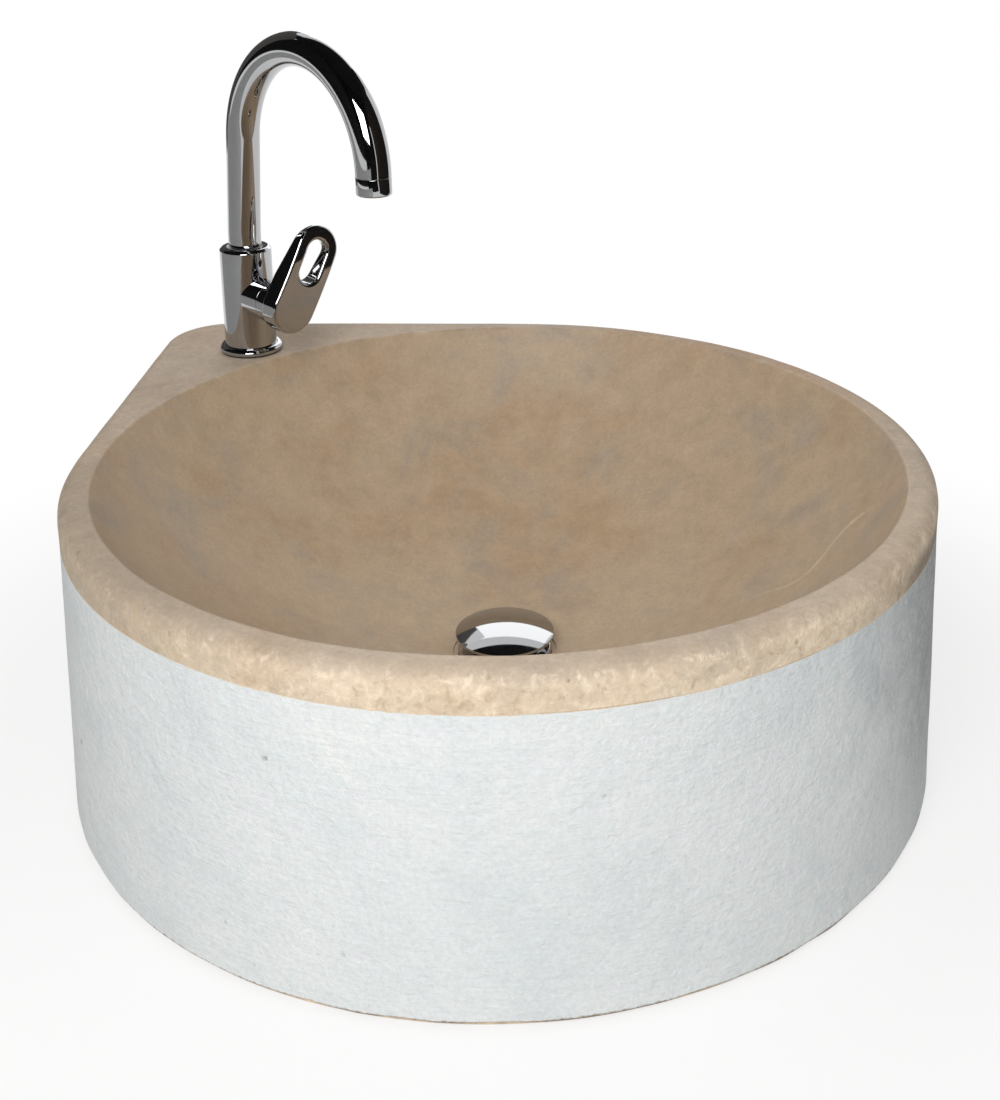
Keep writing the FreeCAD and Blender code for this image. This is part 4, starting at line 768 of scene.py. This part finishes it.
def crownFront(piece):
    # level cuts along the plate, then its front falls away to both ends on a large radius
    v = lever
    bpy.context.view_layer.objects.active = piece
    bpy.ops.object.mode_set(mode="EDIT")
    for level in range(v["cutStart"], v["cutEnd"], v["cutStep"]):
        bpy.ops.mesh.select_all(action="SELECT")
        bpy.ops.mesh.bisect(plane_co=(0, level * mm, 0), plane_no=(0, 1, 0))
    mesh = bmesh.from_edit_mesh(piece.data)
    for vert in mesh.verts:
        share = (vert.co.z / mm - v["front"] + v["crownDepth"]) / v["crownFade"]
        fall = (vert.co.y / mm - v["crownAt"]) ** 2 / (2 * v["crown"]) * mm
        vert.co.z -= min(1.0, max(0.0, share)) * fall
    bmesh.update_edit_mesh(piece.data)
    bpy.ops.object.mode_set(mode="OBJECT")
    evenShading(piece)


def makeLever():
    # drawn flat with Z outwards: a slotted plate that thins towards its tip, hollowed behind for the dome
    v = lever
    piece = slotOutline("leverLoop", v["radius"], 0, v["length"], v["front"], v["back"])
    wedge = slotOutline("wedge", v["radius"] * 2, 0, v["length"] * 2, v["back"], v["back"] - v["wedgeDepth"])
    fall = math.atan2(v["front"] - v["tip"] - v["back"], v["length"] + v["radius"] - v["taperStart"])
    hinge = Vector((0, v["taperStart"] * mm, v["back"] * mm))
    wedge.matrix_world = (
        Matrix.Translation(hinge) @ Matrix.Rotation(fall, 4, "X") @ Matrix.Translation(-hinge)
        @ Matrix.Translation((0, v["taperStart"] * mm, 0)))
    combineWith(piece, wedge, "DIFFERENCE")
    slot = slotOutline("slot", v["slotRadius"], v["slotLow"], v["slotHigh"], v["front"] + v["overrun"],
                       v["back"] - v["overrun"])
    combineWith(piece, slot, "DIFFERENCE")
    applyModifier(piece, "BEVEL", width=v["edge"] * mm, segments=6, limit_method="ANGLE",
                  angle_limit=math.radians(v["edgeAngle"]))
    bpy.ops.mesh.primitive_uv_sphere_add(
        segments=v["recessSegments"], ring_count=v["recessSegments"] // 2, radius=v["recess"] * mm,
        location=(0, 0, v["pivot"] * mm))
    combineWith(piece, bpy.context.object, "DIFFERENCE")
    crownFront(piece)
    stand = Matrix(((0, 0, 1, 0), (1, 0, 0, 0), (0, 1, 0, 0), (0, 0, 0, 1)))  # Z to the front, Y upwards
    place = onFaucet @ bossMiddle @ Matrix.Rotation(math.radians(v["turn"]), 4, "X") @ stand
    finishPiece(piece, "lever_handle", chrome, ["lever"], place)


makeFaucetBarrel()
makeBaseRing()
makeCoverSleeve()
makeAerator(makeSpout())
makeLever()


# waste

cap = {"edge": 32.2, "under": 67, "lip": 2.4, "rise": 5, "thread": 3, "threadTop": 66, "boss": 5,
       "bossLow": 60, "spigot": 16.5, "spigotLow": 61.5, "lipSteps": 8, "domeSteps": 40, "segments": 160,
       "smooth": 50}


def makePlugCap():
    # domed cap with a rounded lip, a spigot and a boss underneath
    c = cap
    domeRadius = (c["edge"] ** 2 + c["rise"] ** 2) / (2 * c["rise"])
    domeMiddle = c["under"] + c["lip"] + c["rise"] - domeRadius
    lipRound = c["lip"] / 2
    rings = [(c["thread"], c["threadTop"]), (c["thread"], c["bossLow"]), (c["boss"], c["bossLow"]),
             (c["boss"], c["spigotLow"]), (c["spigot"], c["spigotLow"]), (c["spigot"], c["under"])]
    rings += arcRings(lipRound, c["under"] + lipRound, math.pi, math.pi / 2, c["lipSteps"],
                      c["edge"] - lipRound)
    rings += arcRings(domeRadius, domeMiddle, math.asin(c["edge"] / domeRadius), 0, c["domeSteps"])
    piece = turnPiece("plugCap", rings, c["segments"], 0)
    finishPiece(piece, "plug", chrome, ["plug_cap"], smooth=c["smooth"])


drain = {
    "low": 6, "outlet": 15.5, "thread": 20.95, "groove": 20.35, "grooveLow": 22, "grooveHigh": 23,
    "flange": 31, "flangeLow": 57, "flangeHigh": 59.5, "chamfer": 1.25, "mouth": 20.5, "bore": 17,
    "boreTop": 50, "boreLow": 34, "edge": 0.4, "segments": 128,
}


def makeDrain():
    # a flanged waste with a grooved thread, a funnel mouth and a stepped bore
    d = drain
    piece = turnPiece("drainBody", [
        (d["outlet"], d["low"]), (d["thread"], d["low"]), (d["thread"], d["grooveLow"]),
        (d["groove"], d["grooveLow"]), (d["groove"], d["grooveHigh"]), (d["thread"], d["grooveHigh"]),
        (d["thread"], d["flangeLow"]), (d["flange"], d["flangeLow"]),
        (d["flange"], d["flangeHigh"] - d["chamfer"]), (d["flange"] - d["chamfer"], d["flangeHigh"]),
        (d["mouth"], d["flangeHigh"]), (d["bore"], d["boreTop"]), (d["bore"], d["boreLow"]),
        (d["outlet"], d["boreLow"])], d["segments"], d["edge"])
    finishPiece(piece, "basin", chrome, ["drain_body"])


spring = {"wire": 1.1, "radius": 5.65, "low": 44.65, "high": 59.35, "turns": 4, "steps": 48, "wireSides": 12}


def makePlugSpring():
    # a coil spring whose lower end stays on the guide
    v = spring
    piece = startMesh("plugSpring", v["wireSides"], v["wire"] / 2 * mm, 0)
    bpy.ops.transform.rotate(value=math.pi / 2, orient_axis="X", center_override=(0, 0, 0))
    bpy.ops.transform.translate(value=(v["radius"] * mm, 0, v["low"] * mm))
    bpy.ops.object.mode_set(mode="OBJECT")
    applyModifier(piece, "SCREW", axis="Z", screw_offset=(v["high"] - v["low"]) / v["turns"] * mm,
                  iterations=v["turns"], steps=v["steps"], render_steps=v["steps"])
    bpy.ops.object.mode_set(mode="EDIT")
    bpy.ops.mesh.select_all(action="SELECT")
    bpy.ops.mesh.fill_holes(sides=0)
    closeMesh()
    bpy.ops.object.shade_smooth_by_angle(angle=math.radians(sharpAngle))
    piece.data.materials.append(steel)
    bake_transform(piece)
    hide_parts("plug_spring")
    print("piece:", piece.name, len(piece.data.polygons), "faces")


makePlugCap()
makeDrain()
makePlugSpring()

finishes = {
    chrome: ["spout_tail"],
    brass: ["cartridge_nut", "clamp_nut", "plug_stem"],
    steel: ["mounting_stud", "clamp_plate", "pivot_pin", "lever_screw", "spout_screw", "lever_stem",
            "plug_stop_collar"],
    rubber: ["base_seal", "clamp_gasket", "spout_o_rings", "aerator_washer", "cartridge_seal",
             "drain_upper_seal", "drain_lower_seal", "plug_seal"],
    acetal: ["cartridge_housing", "carrier", "disc_holder", "spout_slip_rings", "aerator_insert",
             "plug_guide", "drain_backnut"],
    alumina: ["fixed_disc", "moving_disc"],
    plugPlastic: ["lever_plug"],
}
for material, names in finishes.items():
    for name in names:
        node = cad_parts[name]
        node.data.materials.clear()
        node.data.materials.append(material)
print("CAD nodes finished")


# floor, light and camera

studio = {
    "floor": "#f3f3f1", "floorSize": 16, "floorDrop": 0.5, "floorWhite": 0.72, "fadeStart": 300,
    "fadeEnd": 620, "ambient": 0.315, "aim": (0.0, 0.0, 0.12),
    "lamps": {  # place, size and power
        "keyLamp": ((-0.15, -1.11, 1.02), 0.7, 13.2),
        "backLamp": ((-0.1, 1.4, 1.0), 1.3, 5.2),
    },
    "cards": {  # place, size, turn in degrees and colour
        "frontCard": ((0.0, -1.55, 0.8), (1.9, 1.6), (90, 0, 0), "#0c0a08"),
        "rightCard": ((0.85, -0.12, 0.75), (1.7, 1.5), (90, 0, 80), "#231c16"),
        "topCard": ((0.0, -0.05, 1.6), (2.6, 3.1), (0, 0, 0), "#0c0a08"),
        "leftCard": ((-1.05, -0.35, 0.95), (2.2, 1.3), (90, 0, 100), "#0c0a08"),
        "backCard": ((-0.9, 1.0, 0.8), (1.3, 1.3), (90, 0, 40), "#6a6764"),
        "lowCard": ((-0.525, -0.2, 0.14), (1.65, 0.28), (90, 0, 113.4), "#e4e4e2"),
    },
}
photoView = {"place": (0.0449, -0.9071, 0.5758), "down": 0.3013, "aside": 0.0047, "sensor": 36,
             "lens": 50.57, "shiftX": -0.0605, "shiftY": -0.2227, "nearest": 0.01}


def seenRays(tree):
    # the rays that show the white background: the camera's own, and those that metal and glass send on
    rays = addNode(tree, "ShaderNodeLightPath").outputs
    seen = rays["Is Camera Ray"]
    for kind in ("Is Glossy Ray", "Is Transmission Ray"):
        seen = addNode(tree, "ShaderNodeMath", {0: seen, 1: rays[kind]}, operation="MAXIMUM").outputs[0]
    return seen


def makeFloor():
    # pale paper, nearly white to the camera and fading to white away from the object, for a soft shadow
    bpy.ops.object.select_all(action="DESELECT")
    bpy.ops.mesh.primitive_plane_add(size=studio["floorSize"], location=(0, 0, -studio["floorDrop"] * mm))
    floor = bpy.context.object
    floor.name = "studioFloor"
    material, tree, shader = startMaterial("pale paper sweep")
    shader.inputs["Base Color"].default_value = linear(studio["floor"])
    shader.inputs["Roughness"].default_value = 0.9
    shader.inputs["Specular IOR Level"].default_value = 0.0
    place = addNode(tree, "ShaderNodeTexCoord").outputs["Object"]
    far = addNode(tree, "ShaderNodeVectorMath", {0: place}, operation="LENGTH").outputs["Value"]
    fade = addNode(tree, "ShaderNodeMapRange", {
        "Value": far, "From Min": studio["fadeStart"] * mm, "From Max": studio["fadeEnd"] * mm,
        "To Min": studio["floorWhite"]}, interpolation_type="SMOOTHSTEP").outputs[0]
    share = addNode(tree, "ShaderNodeMath", {0: seenRays(tree), 1: fade}, operation="MULTIPLY").outputs[0]
    white = addNode(tree, "ShaderNodeEmission", {"Color": (1, 1, 1, 1), "Strength": 1.0})
    mixed = addNode(tree, "ShaderNodeMixShader", {0: share, 1: shader.outputs[0], 2: white.outputs[0]})
    tree.links.new(mixed.outputs[0], tree.nodes["Material Output"].inputs["Surface"])
    floor.data.materials.append(material)


def makeWorld():
    # white to the camera and in the metal, and a plain soft light on the object
    world = bpy.data.worlds.new("studio")
    bpy.context.scene.world = world
    world.use_nodes = True
    tree = world.node_tree
    tree.nodes.clear()
    strength = addNode(tree, "ShaderNodeMapRange", {
        "Value": seenRays(tree), "To Min": studio["ambient"], "To Max": 1.0}).outputs[0]
    light = addNode(tree, "ShaderNodeBackground", {"Color": (1, 1, 1, 1), "Strength": strength})
    addNode(tree, "ShaderNodeOutputWorld", {"Surface": light.outputs[0]})


def makeLamp(name, place, size, power):
    bpy.ops.object.light_add(type="AREA", location=place)
    lamp = bpy.context.object
    lamp.name = name
    lamp.data.energy = power
    lamp.data.size = size
    lamp.rotation_euler = (Vector(studio["aim"]) - Vector(place)).to_track_quat("-Z", "Y").to_euler()


def makeCard(name, place, size, turn, colour):
    # a studio card out of the camera's sight, for the dark bands and grey sides of polished chrome
    bpy.ops.object.select_all(action="DESELECT")
    bpy.ops.mesh.primitive_plane_add(
        size=1, location=place, rotation=[math.radians(angle) for angle in turn])
    card = bpy.context.object
    card.name = name
    card.scale = (size[0], size[1], 1)
    material, _, shader = startMaterial("felt card")
    shader.inputs["Base Color"].default_value = linear(colour)
    shader.inputs["Roughness"].default_value = 1.0
    card.data.materials.append(material)
    card.visible_camera = False
    card.visible_diffuse = False
    card.visible_shadow = False
    card.visible_transmission = False


def makeCamera():
    view = photoView
    camera = bpy.data.objects.new("photoCamera", bpy.data.cameras.new("photoCamera"))
    bpy.context.scene.collection.objects.link(camera)
    camera.data.sensor_width = view["sensor"]
    camera.data.lens = view["lens"]
    camera.data.shift_x = view["shiftX"]
    camera.data.shift_y = view["shiftY"]
    camera.data.clip_start = view["nearest"]
    camera.location = view["place"]
    camera.rotation_euler = (math.pi / 2 - view["down"], 0, view["aside"])
    bpy.context.scene.camera = camera


makeFloor()
makeWorld()
for name, lamp in studio["lamps"].items():
    makeLamp(name, *lamp)
for name, card in studio["cards"].items():
    makeCard(name, *card)
makeCamera()
bpy.context.scene.view_settings.view_transform = "Standard"
print("studio ready")
